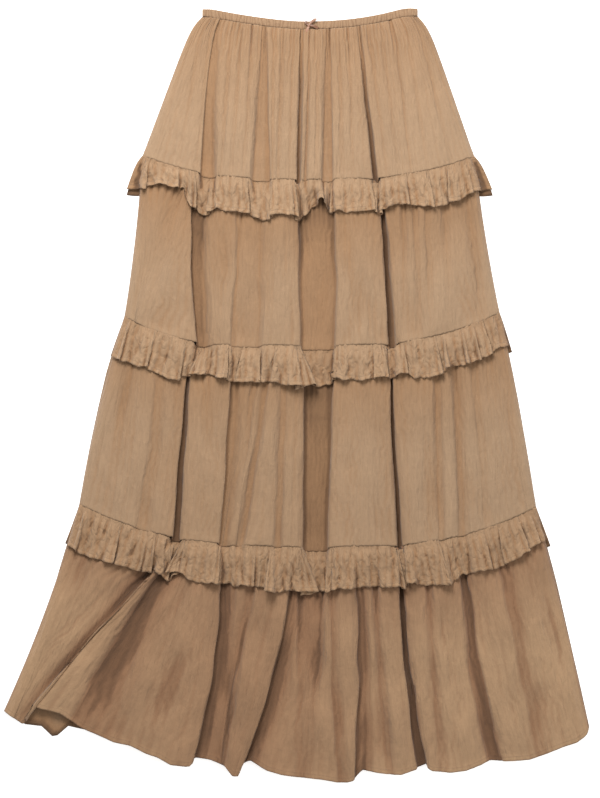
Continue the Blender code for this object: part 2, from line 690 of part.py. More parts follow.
def bed_height(number, seam_x, down):
    """Height that clears a tier's own facets, along the columns that start at seam_x.

    A cell of four points that don't lie in one plane is split in two, and may be split the other
    way in the ruffle. Below the seam it counts as higher, by its twist.
    """
    tops, lows, bows = tier_columns(number)
    rows = np.array(TIER_ROWS)
    row_down = rows[:, None] * np.ones_like(tops)
    row_x = along_columns(number, tops, lows, bows, row_down)
    heights = front_height(number, row_x, row_down)
    twist = np.abs(np.diff(np.diff(heights, axis=0), axis=1))
    beside = np.pad(twist, ((0, 0), (1, 1)))
    beside = np.maximum(beside[:, :-1], beside[:, 1:])
    heights[1:] += CELL_TWIST * np.minimum(beside, MOST_TWIST)
    heights = np.array([np.interp(seam_x, tops, row) for row in heights])
    along = [np.interp(down[:, j], rows, heights[:, j]) for j in range(len(seam_x))]
    return np.stack(along, axis=1)


def add_ruffle_front(number, cloth):
    """The ruffle over the top of tier `number`: its points moved out, with flutes that open."""
    ruffle = RUFFLES[number - 1]
    seam_x = ruffle_columns(number, ruffle)
    tops, lows, bows = tier_columns(number)
    low_x = np.interp(seam_x, tops, lows)
    reach, rise = flute_shape(ruffle, seam_x)
    edge = reach / (seam_y(number, seam_x) - seam_y(number + 1, low_x))
    down = np.stack([0.0 * edge, TIER_ROWS[1] + 0.0 * edge, edge])
    out = down / edge
    x = along_columns(number, seam_x, low_x, np.interp(seam_x, tops, bows), down)
    y = page_y(number, x, down)
    y[0] = below_seam(number, seam_x)
    steep = steepness(front_height, number, x, down)
    clear = (GAP + BANK_CLEARANCE * out) * steep
    low = bed_height(number, seam_x, down) + clear + (rise + RUFFLE_LOFT) * out**LIFT_POWER
    left, right = side_x(number, down)
    x = x + spread(ruffle, number, seam_x, out)
    past_side = np.maximum(left - x, x - right) - 2.0 * GAP
    comes_down = ramp(past_side / TIP_ROLL) * out**TIP_DROP_POWER
    low = np.where(past_side > 0.0, mix(low, LAYER, comes_down), low)
    top = low + WALL * steep
    wall_between(ruffle.name + "_front", grid(x, y, top), grid(x, y, low), cloth)


def add_ruffle_back(number, cloth):
    """The same ruffle behind: it lies flat on the floor, under the tier that it covers."""
    ruffle = RUFFLES[number - 1]
    across = np.linspace(0.0, 1.0, 2 * BACK_RUFFLE_WAVES + 1)
    out = np.array((0.0, 1.0))[:, None] * np.ones_like(across)
    left, right = side_x(number, BACK_RUFFLE_FLARE * out)
    x = mix(left, right, across)
    x = x + spread(ruffle, number, x[0], out)
    wave = BACK_WAVE_DEPTH * np.cos(math.pi * np.arange(len(across)))
    y = smile(SEAMS[number], x[0]) - (BACK_RUFFLE_REACH + wave) * out
    y[0] -= GAP
    low = np.zeros_like(x)
    wall_between(ruffle.name + "_back", grid(x, y, low + WALL), grid(x, y, low), cloth)


def band_section(x, z, out_x, out_z):
    """Four corners of the band's cross-section: its thickness points along (out_x, out_z)."""
    seam = SEAMS[0]
    half = 0.5 * BAND_THICK
    from_end = min(x - seam.left, seam.right - x)
    low = float(smile(seam, np.array(x))) + GAP
    high = low + BAND_HEIGHT - BAND_END_DROP * float(ramp(1.0 - from_end / BAND_END_WIDE))
    return [
        (x + out_x * half, low, z + out_z * half),
        (x + out_x * half, high, z + out_z * half),
        (x - out_x * half, high, z - out_z * half),
        (x - out_x * half, low, z - out_z * half),
    ]


def add_waistband(cloth):
    """The elastic band as a ring pressed flat: its ribbed front lies on its back."""
    seam = SEAMS[0]
    back_z = 0.5 * BAND_THICK
    front_z = back_z + BAND_THICK + BAND_AIR
    bend = 0.5 * (front_z - back_z)
    sections = []
    for k in range(2 * BAND_RIBS + 1):
        x = mix(seam.left + bend, seam.right - bend, k / (2 * BAND_RIBS))
        rib = BAND_RIB_DEPTH * (0.5 - 0.5 * math.cos(math.pi * k))
        sections.append((x, front_z + rib, 0.0, 1.0))
    for k in range(1, BAND_END_STEPS):
        angle = math.pi * k / BAND_END_STEPS
        sections.append(
            (seam.right - bend + bend * math.sin(angle), back_z + bend + bend * math.cos(angle))
            + (math.sin(angle), math.cos(angle))
        )
    for k in range(BAND_BACK_PLACES + 1):
        x = mix(seam.right - bend, seam.left + bend, k / BAND_BACK_PLACES)
        sections.append((x, back_z, 0.0, -1.0))
    for k in range(BAND_END_STEPS - 1, 0, -1):
        angle = math.pi * k / BAND_END_STEPS
        sections.append(
            (seam.left + bend - bend * math.sin(angle), back_z + bend + bend * math.cos(angle))
            + (-math.sin(angle), math.cos(angle))
        )
    points = []
    for x, z, out_x, out_z in sections:
        points += band_section(x, z, out_x, out_z)
    faces = []
    count = len(sections)
    for i in range(count):
        a, b = 4 * i, 4 * ((i + 1) % count)
        for k in range(4):
            m = (k + 1) % 4
            faces.append((a + k, b + k, b + m))
            faces.append((a + k, b + m, a + m))
    add_solid("waistband", points, faces, cloth)


def ribbon_strip(path, width):
    """A closed ribbon along a path of (x, y, z), flat side up, as points and faces."""
    points = []
    faces = []
    last = len(path) - 1
    for i, (x, y, z) in enumerate(path):
        ahead, behind = path[min(i + 1, last)], path[max(i - 1, 0)]
        along = np.array([ahead[0] - behind[0], ahead[1] - behind[1]])
        along = along / np.linalg.norm(along)
        side = 0.5 * width * np.array([-along[1], along[0]])
        half = 0.5 * RIBBON_THICK
        for sign, height in ((1, half), (-1, half), (-1, -half), (1, -half)):
            points.append((x + sign * side[0], y + sign * side[1], z + height))
    for i in range(last):
        a, b = 4 * i, 4 * (i + 1)
        for k in range(4):
            m = (k + 1) % 4
            faces.append((a + k, a + m, b + m, b + k))
    faces.append((3, 2, 1, 0))
    end = 4 * last
    faces.append((end, end + 1, end + 2, end + 3))
    return points, faces


def add_bow(ribbon):
    """A tied ribbon bow: two folded loops above, two tails below and the knot, joined as one."""
    centre_x, centre_y = BOW_CENTRE
    base = 2.0 * BAND_THICK + 2.0 * GAP + BOW_CLEARANCE + 0.5 * RIBBON_THICK
    pieces = []
    for arm in BOW_ARMS:
        path = []
        for k in range(RIBBON_STEPS + 1):
            share = k / RIBBON_STEPS
            swell = math.sin(math.pi * share)
            x = centre_x + arm.reach_x * share + BOW_ARM_BEND * arm.reach_y * swell
            y = centre_y + arm.reach_y * share - BOW_ARM_BEND * arm.reach_x * swell
            z = base + 0.5 * RIBBON_THICK + arm.climb * share + arm.arch * swell
            path.append((x, y, z))
        points, faces = ribbon_strip(path, RIBBON_WIDTH)
        pieces.append(add_solid(arm.name, points, faces, ribbon))
    knot = bmesh.new()
    bmesh.ops.create_uvsphere(knot, u_segments=12, v_segments=8, radius=0.5)
    bmesh.ops.scale(knot, vec=[MM * size for size in KNOT_SIZE], verts=knot.verts)
    place = (MM * centre_x, MM * centre_y, MM * (base + KNOT_RISE))
    bmesh.ops.translate(knot, vec=place, verts=knot.verts)
    mesh = bpy.data.meshes.new("bow")
    knot.to_mesh(mesh)
    knot.free()
    mesh.materials.append(ribbon)
    mesh.shade_smooth()
    bow = bpy.data.objects.new("bow", mesh)
    bpy.context.scene.collection.objects.link(bow)
    for piece in pieces:
        piece.hide_render = True
        piece.display_type = "WIRE"
        join = bow.modifiers.new("join_" + piece.name, "BOOLEAN")
        join.operation = "UNION"
        join.solver = "EXACT"
        join.object = piece


def main():
    for old in list(bpy.data.objects):
        bpy.data.objects.remove(old, do_unlink=True)
    cloth = material("crinkled_cotton_gauze", CLOTH_COLOUR)
    ribbon = material("satin_ribbon", RIBBON_COLOUR)
    add_waistband(cloth)
    for number in range(len(TIERS)):
        add_tier_front(number, cloth)
        add_tier_back(number, cloth)
    for number in range(1, len(TIERS)):
        add_ruffle_front(number, cloth)
        add_ruffle_back(number, cloth)
    add_bow(ribbon)


main()
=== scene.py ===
# %% [markdown]
# # A tiered ruffle skirt, laid flat
#
# The real skirt is four gathered strips of crinkled cotton gauze, each wider than the one above, with
# a narrow ruffle sewn into every seam between them, an elastic waistband and a small ribbon bow. Laid
# on its back, its fullness stands up in long folds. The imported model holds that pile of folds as
# plain solids. This script dresses each solid with a thin sheet of cloth that follows the same folds
# and adds what a maker's eye looks for: gathers, creases, turned hems, stitches and the weave.
#
# All tables are in millimetres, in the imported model's frame: +Z up from the floor, +Y to the waist.

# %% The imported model
import functools
import math
from collections import namedtuple

import bpy
import numpy as np
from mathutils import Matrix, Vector


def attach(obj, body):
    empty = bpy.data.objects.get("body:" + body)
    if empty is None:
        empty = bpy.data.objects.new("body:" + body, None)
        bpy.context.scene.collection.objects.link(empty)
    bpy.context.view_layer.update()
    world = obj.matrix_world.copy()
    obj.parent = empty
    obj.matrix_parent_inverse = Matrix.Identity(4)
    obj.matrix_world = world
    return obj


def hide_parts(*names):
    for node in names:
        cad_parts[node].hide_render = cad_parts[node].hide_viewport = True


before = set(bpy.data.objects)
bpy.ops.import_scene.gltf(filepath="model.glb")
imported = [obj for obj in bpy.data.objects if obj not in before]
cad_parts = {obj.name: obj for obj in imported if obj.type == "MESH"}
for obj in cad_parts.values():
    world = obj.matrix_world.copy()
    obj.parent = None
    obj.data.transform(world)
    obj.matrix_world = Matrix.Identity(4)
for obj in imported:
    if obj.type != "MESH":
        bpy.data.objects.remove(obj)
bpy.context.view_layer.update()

MM = 0.001
print("nodes in the frame:", len(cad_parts))

# %% [markdown]
# ## Floor, light and camera
#
# The skirt lies on a pale studio floor and is seen from straight above through a long lens, so that
# its far and near folds look equally large. One wide soft light stands beyond the waist, a little to
# the left, so every ruffle drops a soft shadow on the tier below it. A weak light on the right and a
# pale world keep the furrows from going black. The floor glows a little, which keeps it near white.

# %% Camera
VIEW_CENTRE = (0.00448, -0.00576)
VIEW_TALL = 1.0214
CAMERA_HEIGHT = 4.4
CLOTH_LEVEL = 0.015

camera = bpy.data.cameras.new("camera")
camera.sensor_width = 36.0
camera.lens = camera.sensor_width * (CAMERA_HEIGHT - CLOTH_LEVEL) / VIEW_TALL
camera.clip_end = 50.0
camera_object = bpy.data.objects.new("camera", camera)
camera_object.location = (VIEW_CENTRE[0], VIEW_CENTRE[1], CAMERA_HEIGHT)
bpy.context.scene.collection.objects.link(camera_object)
bpy.context.scene.camera = camera_object
bpy.context.scene.view_settings.view_transform = "Standard"
print("lens:", round(camera.lens, 1), "mm")

# %% Colours, nodes and tables


def linear(hex_colour):
    """The linear RGBA of an sRGB colour written as "#RRGGBB"."""
    values = [int(hex_colour[i : i + 2], 16) / 255.0 for i in (1, 3, 5)]
    return [v / 12.92 if v <= 0.04045 else ((v + 0.055) / 1.055) ** 2.4 for v in values] + [1.0]


def add_node(tree, kind, settings=None, links=None, out=0):
    """Adds a node, sets its properties and inputs, links sockets into it and returns one output."""
    made = tree.nodes.new(kind)
    for name, value in (settings or {}).items():
        if hasattr(made, str(name)):
            setattr(made, name, value)
        else:
            made.inputs[name].default_value = value
    for name, socket in (links or {}).items():
        tree.links.new(socket, made.inputs[name])
    return made.outputs[out]


def start_material(name, finish):
    """A new material, its node tree and its shader, which gets the values in `finish`."""
    made = bpy.data.materials.new(name)
    made.use_nodes = True
    shader = made.node_tree.nodes["Principled BSDF"]
    for part, value in finish.items():
        shader.inputs[part].default_value = value
    return made, made.node_tree, shader


def table(columns, *rows):
    """A table whose rows give their values by the names in `columns`."""
    Row = namedtuple("Row", columns)
    return [Row(*row) for row in rows]


# %% Floor and lights
FLOOR_SIZE = 12.0
FLOOR_DROP = 0.0002
PAPER_FINISH = {
    "Base Color": linear("#F7F6F4"),
    "Roughness": 0.95,
    "Emission Color": linear("#FFFFFF"),
    "Emission Strength": 0.62,
}
LIGHTS = table(
    "name place size watts",
    ("softbox_beyond_waist", (-0.3, 1.25, 1.4), 0.9, 43.0),
    ("fill_right", (1.5, -0.3, 1.5), 1.2, 8.0),
)
WORLD_STRENGTH = 0.545

bpy.ops.object.select_all(action="DESELECT")
bpy.ops.mesh.primitive_plane_add(size=FLOOR_SIZE, location=(0.0, 0.0, -FLOOR_DROP))
floor = bpy.context.object
floor.name = "studio_floor"
paper, _, _ = start_material("matt_paper_floor", PAPER_FINISH)
floor.data.materials.append(paper)

for light in LIGHTS:
    lamp = bpy.data.lights.new(light.name, "AREA")
    lamp.shape = "DISK"
    lamp.size = light.size
    lamp.energy = light.watts
    holder = bpy.data.objects.new(light.name, lamp)
    holder.location = light.place
    holder.rotation_euler = (-Vector(light.place)).to_track_quat("-Z", "Y").to_euler()
    bpy.context.scene.collection.objects.link(holder)

world = bpy.data.worlds.new("studio")
bpy.context.scene.world = world
world.use_nodes = True
sky = world.node_tree.nodes["Background"]
sky.inputs["Color"].default_value = linear("#FFFFFF")
sky.inputs["Strength"].default_value = WORLD_STRENGTH

# %% [markdown]
# ## Where the seams and folds are
#
# The sheets must lie where the solids lie, so the same driving sizes are written here again: the
# seams, the furrows between the folds and the flutes of the ruffles. A seam climbs towards its ends,
# by no more than `most`. A furrow runs from x = `top` on its tier's upper edge to `low` on the lower
# one. Its floor is `wide` there, its banks are as wide as `left` and `right` say, and `deep` is the
# share of the pile's height that it takes away. Three columns are new. Where a real fold topples a
# little, its crest hangs over the furrow beside it, and that is what makes a crisp dark edge:
# `lap_left` and `lap_right` say how far each crest does so. `open` says how many times wider a
# furrow's banks are at its low end than at its top. A flute stands between two grooves of its
# ruffle, and each `reach` says how far the hem hangs below the seam.

# %% Seams and hem
SEAMS = table(
    "left right middle_x low climb_left climb_right bend_left bend_right most lift",
    (-121.0, 155.5, 8.0, 468.5, 18.0, 22.5, 1.5, 2.3, 17.5, 0.0),
    (-198.0, 228.5, 17.0, 268.0, 37.0, 36.5, 3.0, 3.0, 90.0, 0.62),
    (-221.0, 261.0, 20.0, 54.5, 44.5, 49.0, 4.0, 3.0, 90.0, 0.62),
    (-279.0, 307.5, 30.0, -202.0, 60.0, 56.5, 3.0, 3.0, 90.0, 0.56),
    (-375.7, 375.7, 36.0, -466.0, 62.0, 41.0, 1.9, 4.0, 90.0, 0.0),
)
FRONT_HEM = table(
    "x y",
    (-375.7, -406.0), (-352.0, -422.0), (-347.5, -422.0), (-343.5, -399.0), (-305.0, -408.0),
    (-291.0, -417.0), (-275.0, -428.0), (-254.0, -437.0), (-234.0, -446.0), (-213.0, -450.0),
    (-193.0, -460.0), (-177.0, -465.0), (-162.0, -474.0), (-141.0, -477.0), (-131.0, -465.0),
    (-111.0, -468.0), (-90.0, -477.0), (-83.0, -489.0), (-77.0, -489.0), (-70.0, -474.0),
    (-59.5, -469.0), (-39.0, -481.0), (-18.5, -487.0), (2.0, -490.0), (33.0, -493.0),
    (53.0, -497.0), (63.0, -497.0), (74.0, -493.0), (84.0, -481.0), (104.0, -484.5),
    (125.0, -487.0), (135.0, -487.0), (155.5, -478.0), (166.0, -474.0), (176.0, -482.0),
    (196.5, -484.5), (217.0, -482.0), (237.5, -474.0), (247.5, -469.0), (268.0, -470.0),
    (299.0, -468.0), (319.5, -461.0), (340.0, -452.5), (360.0, -446.0), (370.5, -438.5),
    (374.0, -434.0), (375.7, -426.0),
)
BACK_CORNER = table("x drop", (-375.7, 2.0), (-350.0, 12.0), (-327.0, 8.5), (-311.0, 20.0), (-293.0, 0.0))

# %% Furrows of the fronts
FURROW = "top low bow wide_top wide_low deep_top deep_low left right lap_left lap_right open"
TIER_1_FURROWS = table(
    FURROW,
    (-117, -184, 0, 1, 1, 0.30, 0.02, 2.5, 3, 1.5, 0, 1),
    (-112, -152, 0, 1, 2, 0.30, 0.03, 2.5, 5, 0, 0, 1),
    (-104, -131, 0, 1, 2, 0.24, 0.05, 2.5, 3, 1, 0, 1),
    (-96, -115, -3, 2, 14, 0.60, 0.80, 4, 8, 3, 0, 1),
    (-80, -97, 0, 1, 2, 0.30, 0.06, 2.5, 3, 0, 1, 1),
    (-68, -84, 0, 1, 2, 0.27, 0.03, 2.5, 2.5, 1, 0, 1),
    (-56, -68, 0, 1, 2, 0.27, 0.03, 2.5, 2.5, 0, 0, 1),
    (-40, -45, 0, 2, 20, 0.60, 0.52, 6, 4, 0, 3, 1),
    (-28, -29, 0, 1, 2, 0.21, 0.10, 2, 2, 0, 1, 1),
    (-17, -23, 0, 1, 2, 0.30, 0.10, 2.5, 2.5, 0, 0, 1),
    (-5, -11, 0, 1, 1, 0.21, 0.04, 2, 2.5, 0, 0, 1),
    (7, 2, -1, 2, 3, 0.60, 0.80, 3, 3, 3, 0, 1),
    (17, 11, 0, 1, 3, 0.30, 0.30, 2, 2, 1, 0, 1),
    (28, 25, 0, 1, 2, 0.21, 0.04, 2, 2, 0, 0, 1),
    (41, 40, 0, 3, 10, 0.55, 0.52, 5, 4, 0, 2, 1),
    (55, 59, 0, 1, 2, 0.27, 0.04, 2, 2.5, 0, 0, 1),
    (66, 73, 0, 1, 2, 0.24, 0.04, 2.5, 2.5, 1, 0, 1),
    (80, 102, 0, 2, 5, 0.60, 1.00, 4, 4, 2, 4, 1),
    (93, 118, 0, 1, 2, 0.27, 0.06, 2.5, 3, 1, 0, 1),
    (106, 131, 0, 1, 2, 0.24, 0.03, 2.5, 3, 1, 0, 1),
    (120, 147, 0, 1, 2, 0.33, 0.07, 2.5, 3.5, 0, 2, 1),
    (133, 168, 0, 1, 2, 0.24, 0.05, 2.5, 3.5, 0, 0, 1),
    (145, 198, 0, 1, 3, 0.33, 0.05, 2, 5, 0, 2, 1),
    (151, 221, 0, 1, 1, 0.40, 0.02, 3, 2, 0, 1.5, 1),
)
TIER_2_FURROWS = table(
    FURROW,
    (-142, -200, 0, 3, 8, 0.32, 0.05, 16, 9, 0, 0, 1),
    (-127, -124, -4, 15, 8, 0.90, 0.92, 4, 16, 5, 0, 1),
    (-58, -66, 0, 26, 32, 0.38, 0.40, 5, 9, 1, 0, 1),
    (23, 27, 2, 44, 40, 0.72, 0.74, 5, 5, 2, 1.5, 1),
    (105, 121, 1, 3, 7, 1.00, 1.00, 4, 7, 4, 2, 1),
    (136, 140, 0, 2, 2, 0.35, 0.00, 5, 5, 0, 0, 1),
    (150, 158, 0, 2, 3, 0.30, 0.05, 4, 8, 0, 0, 1),
    (165, 172, 0, 3, 3, 0.32, 0.03, 6, 6, 0, 0, 1),
    (188, 198, 0, 2, 2, 0.35, 0.00, 7, 7, 0, 0, 1),
    (213, 240, 2, 3, 3, 0.42, 0.20, 8, 10, 0, 1, 1),
)
TIER_3_FURROWS = table(
    FURROW,
    (-207, -243, 3, 3, 5, 0.32, 0.10, 10, 9, 0, 0, 1),
    (-174, -199, 7, 3, 7, 0.34, 0.34, 8, 11, 0, 0, 1),
    (-136, -155, -1, 2, 9, 0.90, 1.00, 4, 5, 5, 3, 1),
    (-80, -97, 2, 6, 3, 0.72, 0.60, 4, 18, 5, 0, 1),
    (-46, -88, 0, 2, 2, 0.32, 0.05, 8, 6, 0, 0, 1),
    (-33, -74, 3, 2, 3, 0.30, 0.36, 7, 7, 0, 0, 1),
    (-15, -24, 0, 2, 3, 0.28, 0.36, 7, 7, 0, 0, 1),
    (29, 24, 0, 37, 29, 0.83, 0.90, 5, 5, 2, 2, 1),
    (119, 132, -1, 4, 6, 1.00, 1.00, 4, 5, 4, 3, 1),
    (177, 185, 0, 3, 3, 0.40, 0.25, 6, 9, 1, 0, 1),
    (199, 212, 2, 3, 4, 0.34, 0.34, 6, 10, 0, 0, 1),
    (222, 244, 0, 3, 3, 0.32, 0.10, 8, 8, 0, 0, 1),
    (257, 290, 0, 3, 3, 0.32, 0.06, 9, 9, 0, 0, 1),
)
TIER_4_FURROWS = table(
    FURROW,
    (-146, -352, -10, 4, 4, 0.80, 0.50, 16, 4, 0, 1, 1),
    (-141, -280, -6, 4, 8, 0.95, 0.66, 4, 18, 1, 0, 4.0),
    (-96, -127, 11, 3, 9, 0.75, 0.68, 4, 18, 6, 0, 1.3),
    (-45, -98, -4, 4, 6, 0.30, 0.55, 10, 5, 0, 3, 1.4),
    (-3, -66, 14, 4, 9, 0.65, 0.62, 4, 16, 5, 0, 1.7),
    (21, 8, 0, 32, 12, 0.88, 0.12, 5, 8, 2, 1.5, 1.8),
    (46, 56, -3, 2, 3, 0.30, 0.30, 4, 10, 1, 0, 1.4),
    (75, 80, 5, 4, 10, 0.50, 0.66, 4, 12, 5, 0, 1.3),
    (98, 122, -4, 3, 3, 0.45, 0.30, 7, 7, 0, 1, 1.4),
    (133, 161, -5, 4, 10, 1.00, 0.95, 4, 4, 4, 4, 1.4),
    (163, 186, 0, 2, 3, 0.40, 0.26, 7, 8, 1, 0, 1.5),
    (213, 257, -8, 4, 8, 0.65, 0.75, 7, 5, 0, 3, 1.8),
    (258, 318, -4, 4, 5, 0.42, 0.28, 8, 12, 0, 1, 1.5),
)
# `shade` is how much painted shade each tier gets, strongest about SHADE_X
TIERS = table(
    "name crown_top crown_low bulge_left bulge_right shade furrows",
    ("tier1", 9.0, 21.0, 10.0, 10.5, 0.0, TIER_1_FURROWS),
    ("tier2", 22.0, 22.0, -2.5, -2.0, 0.1, TIER_2_FURROWS),
    ("tier3", 23.0, 22.0, 5.0, 2.5, 0.2, TIER_3_FURROWS),
    ("tier4", 23.0, 17.0, -6.0, 2.0, 0.5, TIER_4_FURROWS),
)
LAST = len(TIERS) - 1

# %% Flutes of the ruffles
FLUTE = "groove groove_reach crest_reach crest_rise"
RUFFLE_1_FLUTES = table(
    FLUTE,
    (-194, 42, 27, 9), (-144, 25, 35, 3), (-135, 46, 49, 5), (-104, 42, 45, 6), (-60, 46, 47, 8),
    (-42, 50, 50, 6), (-28, 45, 45, 6), (2, 48, 43, 7), (20, 36, 24, 13), (44, 40, 41, 6),
    (62, 43, 43, 6), (91, 40, 39, 5), (109, 41, 38, 7), (125, 36, 39, 8), (150, 42, 46, 6),
    (172, 49, 49, 7), (192, 48, 48, 8), (212, 44, 42, 7),
)
RUFFLE_2_FLUTES = table(
    FLUTE,
    (-219, 52, 52, 5), (-203, 49, 50, 6), (-184, 46, 49, 5), (-165, 50, 52, 5), (-142, 52, 44, 5),
    (-126, 35, 35, 8), (-106, 38, 43, 6), (-75, 44, 44, 5), (-45, 45, 48, 6), (-30, 47, 48, 5),
    (-16, 50, 51, 8), (7, 50, 44, 6), (31, 47, 44, 5), (50, 40, 45, 8), (72, 45, 46, 5),
    (96, 44, 42, 6), (116, 37, 36, 7), (138, 40, 49, 6), (159, 50, 51, 5), (180, 48, 44, 6),
    (199, 44, 46, 5), (221, 46, 45, 6), (240, 42, 40, 6),
)
RUFFLE_3_FLUTES = table(
    FLUTE,
    (-274, 52, 55, 6), (-259, 56, 55, 5), (-242, 53, 53, 5), (-222, 52, 51, 6), (-200, 50, 51, 5),
    (-179, 51, 49, 6), (-156, 50, 40, 7), (-140, 42, 50, 6), (-121, 52, 53, 5), (-100, 48, 48, 6),
    (-70, 51, 52, 5), (-41, 53, 57, 9), (-20, 57, 57, 7), (8, 56, 48, 8), (28, 50, 50, 5),
    (41, 54, 54, 6), (63, 55, 53, 5), (98, 52, 54, 5), (121, 52, 50, 5), (136, 46, 48, 8),
    (150, 53, 55, 6), (172, 56, 57, 6), (196, 54, 48, 6), (212, 47, 49, 6), (235, 51, 52, 5),
    (258, 51, 49, 5), (284, 44, 42, 5),
)
LAST_GROOVE_REACH = 42.0
RUFFLES = table(
    "name spread_left spread_right flutes",
    ("ruffle1", 17.0, 18.0, RUFFLE_1_FLUTES),
    ("ruffle2", 1.5, 4.0, RUFFLE_2_FLUTES),
    ("ruffle3", 1.0, 2.5, RUFFLE_3_FLUTES),
)

# %% [markdown]
# ## The pile of folds as a height
#
# Cloth that stands in folds on a floor is nearly a relief map: at each place of the page it has one
# height. The pile rises from the side fold to its crown, and every furrow takes its share away. A
# seam is carried up the page where it crosses a standing fold, because the cloth bulges towards it.

# %% Curves that the shapes share
SIDE_FLARE = 0.07
SEAM_SOFT = 3.0  # how gently a seam levels out where it reaches the most that it climbs
SIDE_FADE = 60.0
SIDE_ROLL = 13.0
SIDE_SETTLE = 0.5
SEAM_BLEND = 0.22
SEAM_RISE = 0.1
CROWN_POWER = 0.6
FRONT_FLOOR = 4.2  # the back, its folds and the front's own layer
BED = 1.5  # the back ruffle under a back panel
SHOULDER = 0.32  # how much lower a fold is beside a deep furrow than on its crest
SHOULDER_WIDE = 13.0
BED_END = 0.30
BED_DROP = 0.07


def mix(first, second, share):
    return first + (second - first) * share


def ramp(share):
    """Rises smoothly from 0 to 1 as share goes from 0 to 1."""
    share = np.clip(share, 0.0, 1.0)
    return share * share * (3.0 - 2.0 * share)


def arch(share):
    """0 at both ends and 1 half way."""
    return 4.0 * share * (1.0 - share)


def smile(seam, x):
    """y of a seam at x, before folds lift it."""
    to_left = np.clip((seam.middle_x - x) / (seam.middle_x - seam.left), 0.0, 1.1)
    to_right = np.clip((x - seam.middle_x) / (seam.right - seam.middle_x), 0.0, 1.1)
    left = seam.climb_left * to_left**seam.bend_left
    climb = left + seam.climb_right * to_right**seam.bend_right
    level = seam.most - SEAM_SOFT
    over = np.maximum(climb - level, 0.0) / SEAM_SOFT
    return seam.low + np.minimum(climb, level) + SEAM_SOFT * (1.0 - np.exp(-over))


def sideways(number, top, down):
    """How far a line that starts at x = top on a tier's top edge is carried by its swelling sides."""
    seam, tier = SEAMS[number], TIERS[number]
    swell = arch(down) if number else (1.0 - np.exp(-down / SIDE_FLARE)) * (1.0 - down)
    near_left = np.clip(1.0 - (top - seam.left) / SIDE_FADE, 0.0, 1.0)
    near_right = np.clip(1.0 - (seam.right - top) / SIDE_FADE, 0.0, 1.0)
    return (near_right * tier.bulge_right - near_left * tier.bulge_left) * swell


def side_x(number, down):
    """x of a tier's left and right side, at a share `down` of its length."""
    above, below = SEAMS[number], SEAMS[number + 1]
    left = mix(above.left, below.left, down) + sideways(number, above.left, down)
    right = mix(above.right, below.right, down) + sideways(number, above.right, down)
    return left, right


# %% The height of a front
def back_bed(number, down):
    """Height that a back lies at: on its ruffle first, then on the floor."""
    if number == 0:
        return 0.0 * down
    return BED * (1.0 - ramp((down - BED_END) / BED_DROP))


def front_floor(number, down):
    """What a front's furrows and its side fold go down to."""
    rise = 0.0 if number == LAST else 2.0 * BED * ramp((down - 1.0 + SEAM_RISE) / SEAM_RISE)
    return back_bed(number, down) + FRONT_FLOOR + rise


def furrow_place(number, furrow, down):
    """x of a furrow's middle, half the width of its floor, its depth and its banks' widths."""
    centre = mix(furrow.top, furrow.low, down) + furrow.bow * arch(down)
    centre = centre + sideways(number, furrow.top, down)
    half = 0.5 * mix(furrow.wide_top, furrow.wide_low, down)
    deep = mix(furrow.deep_top, furrow.deep_low, down)
    opening = mix(1.0, furrow.open, down)
    return centre, half, deep, furrow.left * opening, furrow.right * opening


def pile_height(number, x, down):
    """A front's upper face before its furrows are taken from it."""
    tier = TIERS[number]
    first, last = side_x(number, down)
    across = np.clip(np.abs(2.0 * x - first - last) / (last - first), 0.0, 1.0)
    floor_z = front_floor(number, down)
    crown = mix(tier.crown_top, tier.crown_low, down**CROWN_POWER) * (1.0 - SIDE_SETTLE * across**3)
    inside = np.clip(np.minimum(x - first, last - x) / SIDE_ROLL, 0.0, 1.0)
    return floor_z + (np.maximum(crown, floor_z) - floor_z) * np.sqrt(1.0 - (1.0 - inside) ** 2)


def own_height(number, x, down):
    """A front's upper face from its own furrows."""
    floor_z = front_floor(number, down)
    kept = np.ones_like(x)
    for furrow in TIERS[number].furrows:
        centre, half, deep, left, right = furrow_place(number, furrow, down)
        left_bank = ramp((x - centre + half + left) / left)
        right_bank = ramp((centre + half + right - x) / right)
        kept = kept * (1.0 - deep * left_bank * right_bank)
        beside = np.maximum(centre - half - left - x, x - centre - half - right)
        kept = kept * (1.0 - SHOULDER * deep**2 * np.exp(-np.maximum(beside, 0.0) / SHOULDER_WIDE))
    return floor_z + (pile_height(number, x, down) - floor_z) * kept


def front_height(number, x, down):
    """A front's upper face, whose top edge takes the shape of the tier above it at their seam."""
    own = own_height(number, x, down)
    if number == 0:
        return own
    seam_shape = own_height(number - 1, x, np.ones_like(x)) - BED
    under = np.maximum(seam_shape, front_floor(number, down))
    return mix(under, own, ramp(down / SEAM_BLEND))


# %% Folds that lap over their furrows
LAP_REACH = 16.0


def lap_shift(number, x, down):
    """How far crests move sideways, so that they hang over the furrows beside them."""
    shift = np.zeros_like(x)
    for furrow in TIERS[number].furrows:
        centre, half, deep, left, right = furrow_place(number, furrow, down)
        for lap, bank, side in ((furrow.lap_left, left, -1), (furrow.lap_right, right, 1)):
            if not lap:
                continue
            inward = side * (centre + side * (half + bank) - x)
            on_bank = 1.0 - ramp(inward / bank)
            on_crest = 1.0 - ramp(-inward / LAP_REACH)
            shift -= side * lap * deep * np.where(inward > 0.0, on_bank, on_crest)
    return shift


# %% [markdown]
# ## Creases, gathers and ripples
#
# Real cloth is never as smooth as a formula. Three kinds of small relief are laid over the folds:
# gathers, which start in a seam and die out; creases, which start anywhere; and ripples, the slow
# unevenness of soft cloth. Each is drawn from a seeded generator, so the skirt is the same each time.

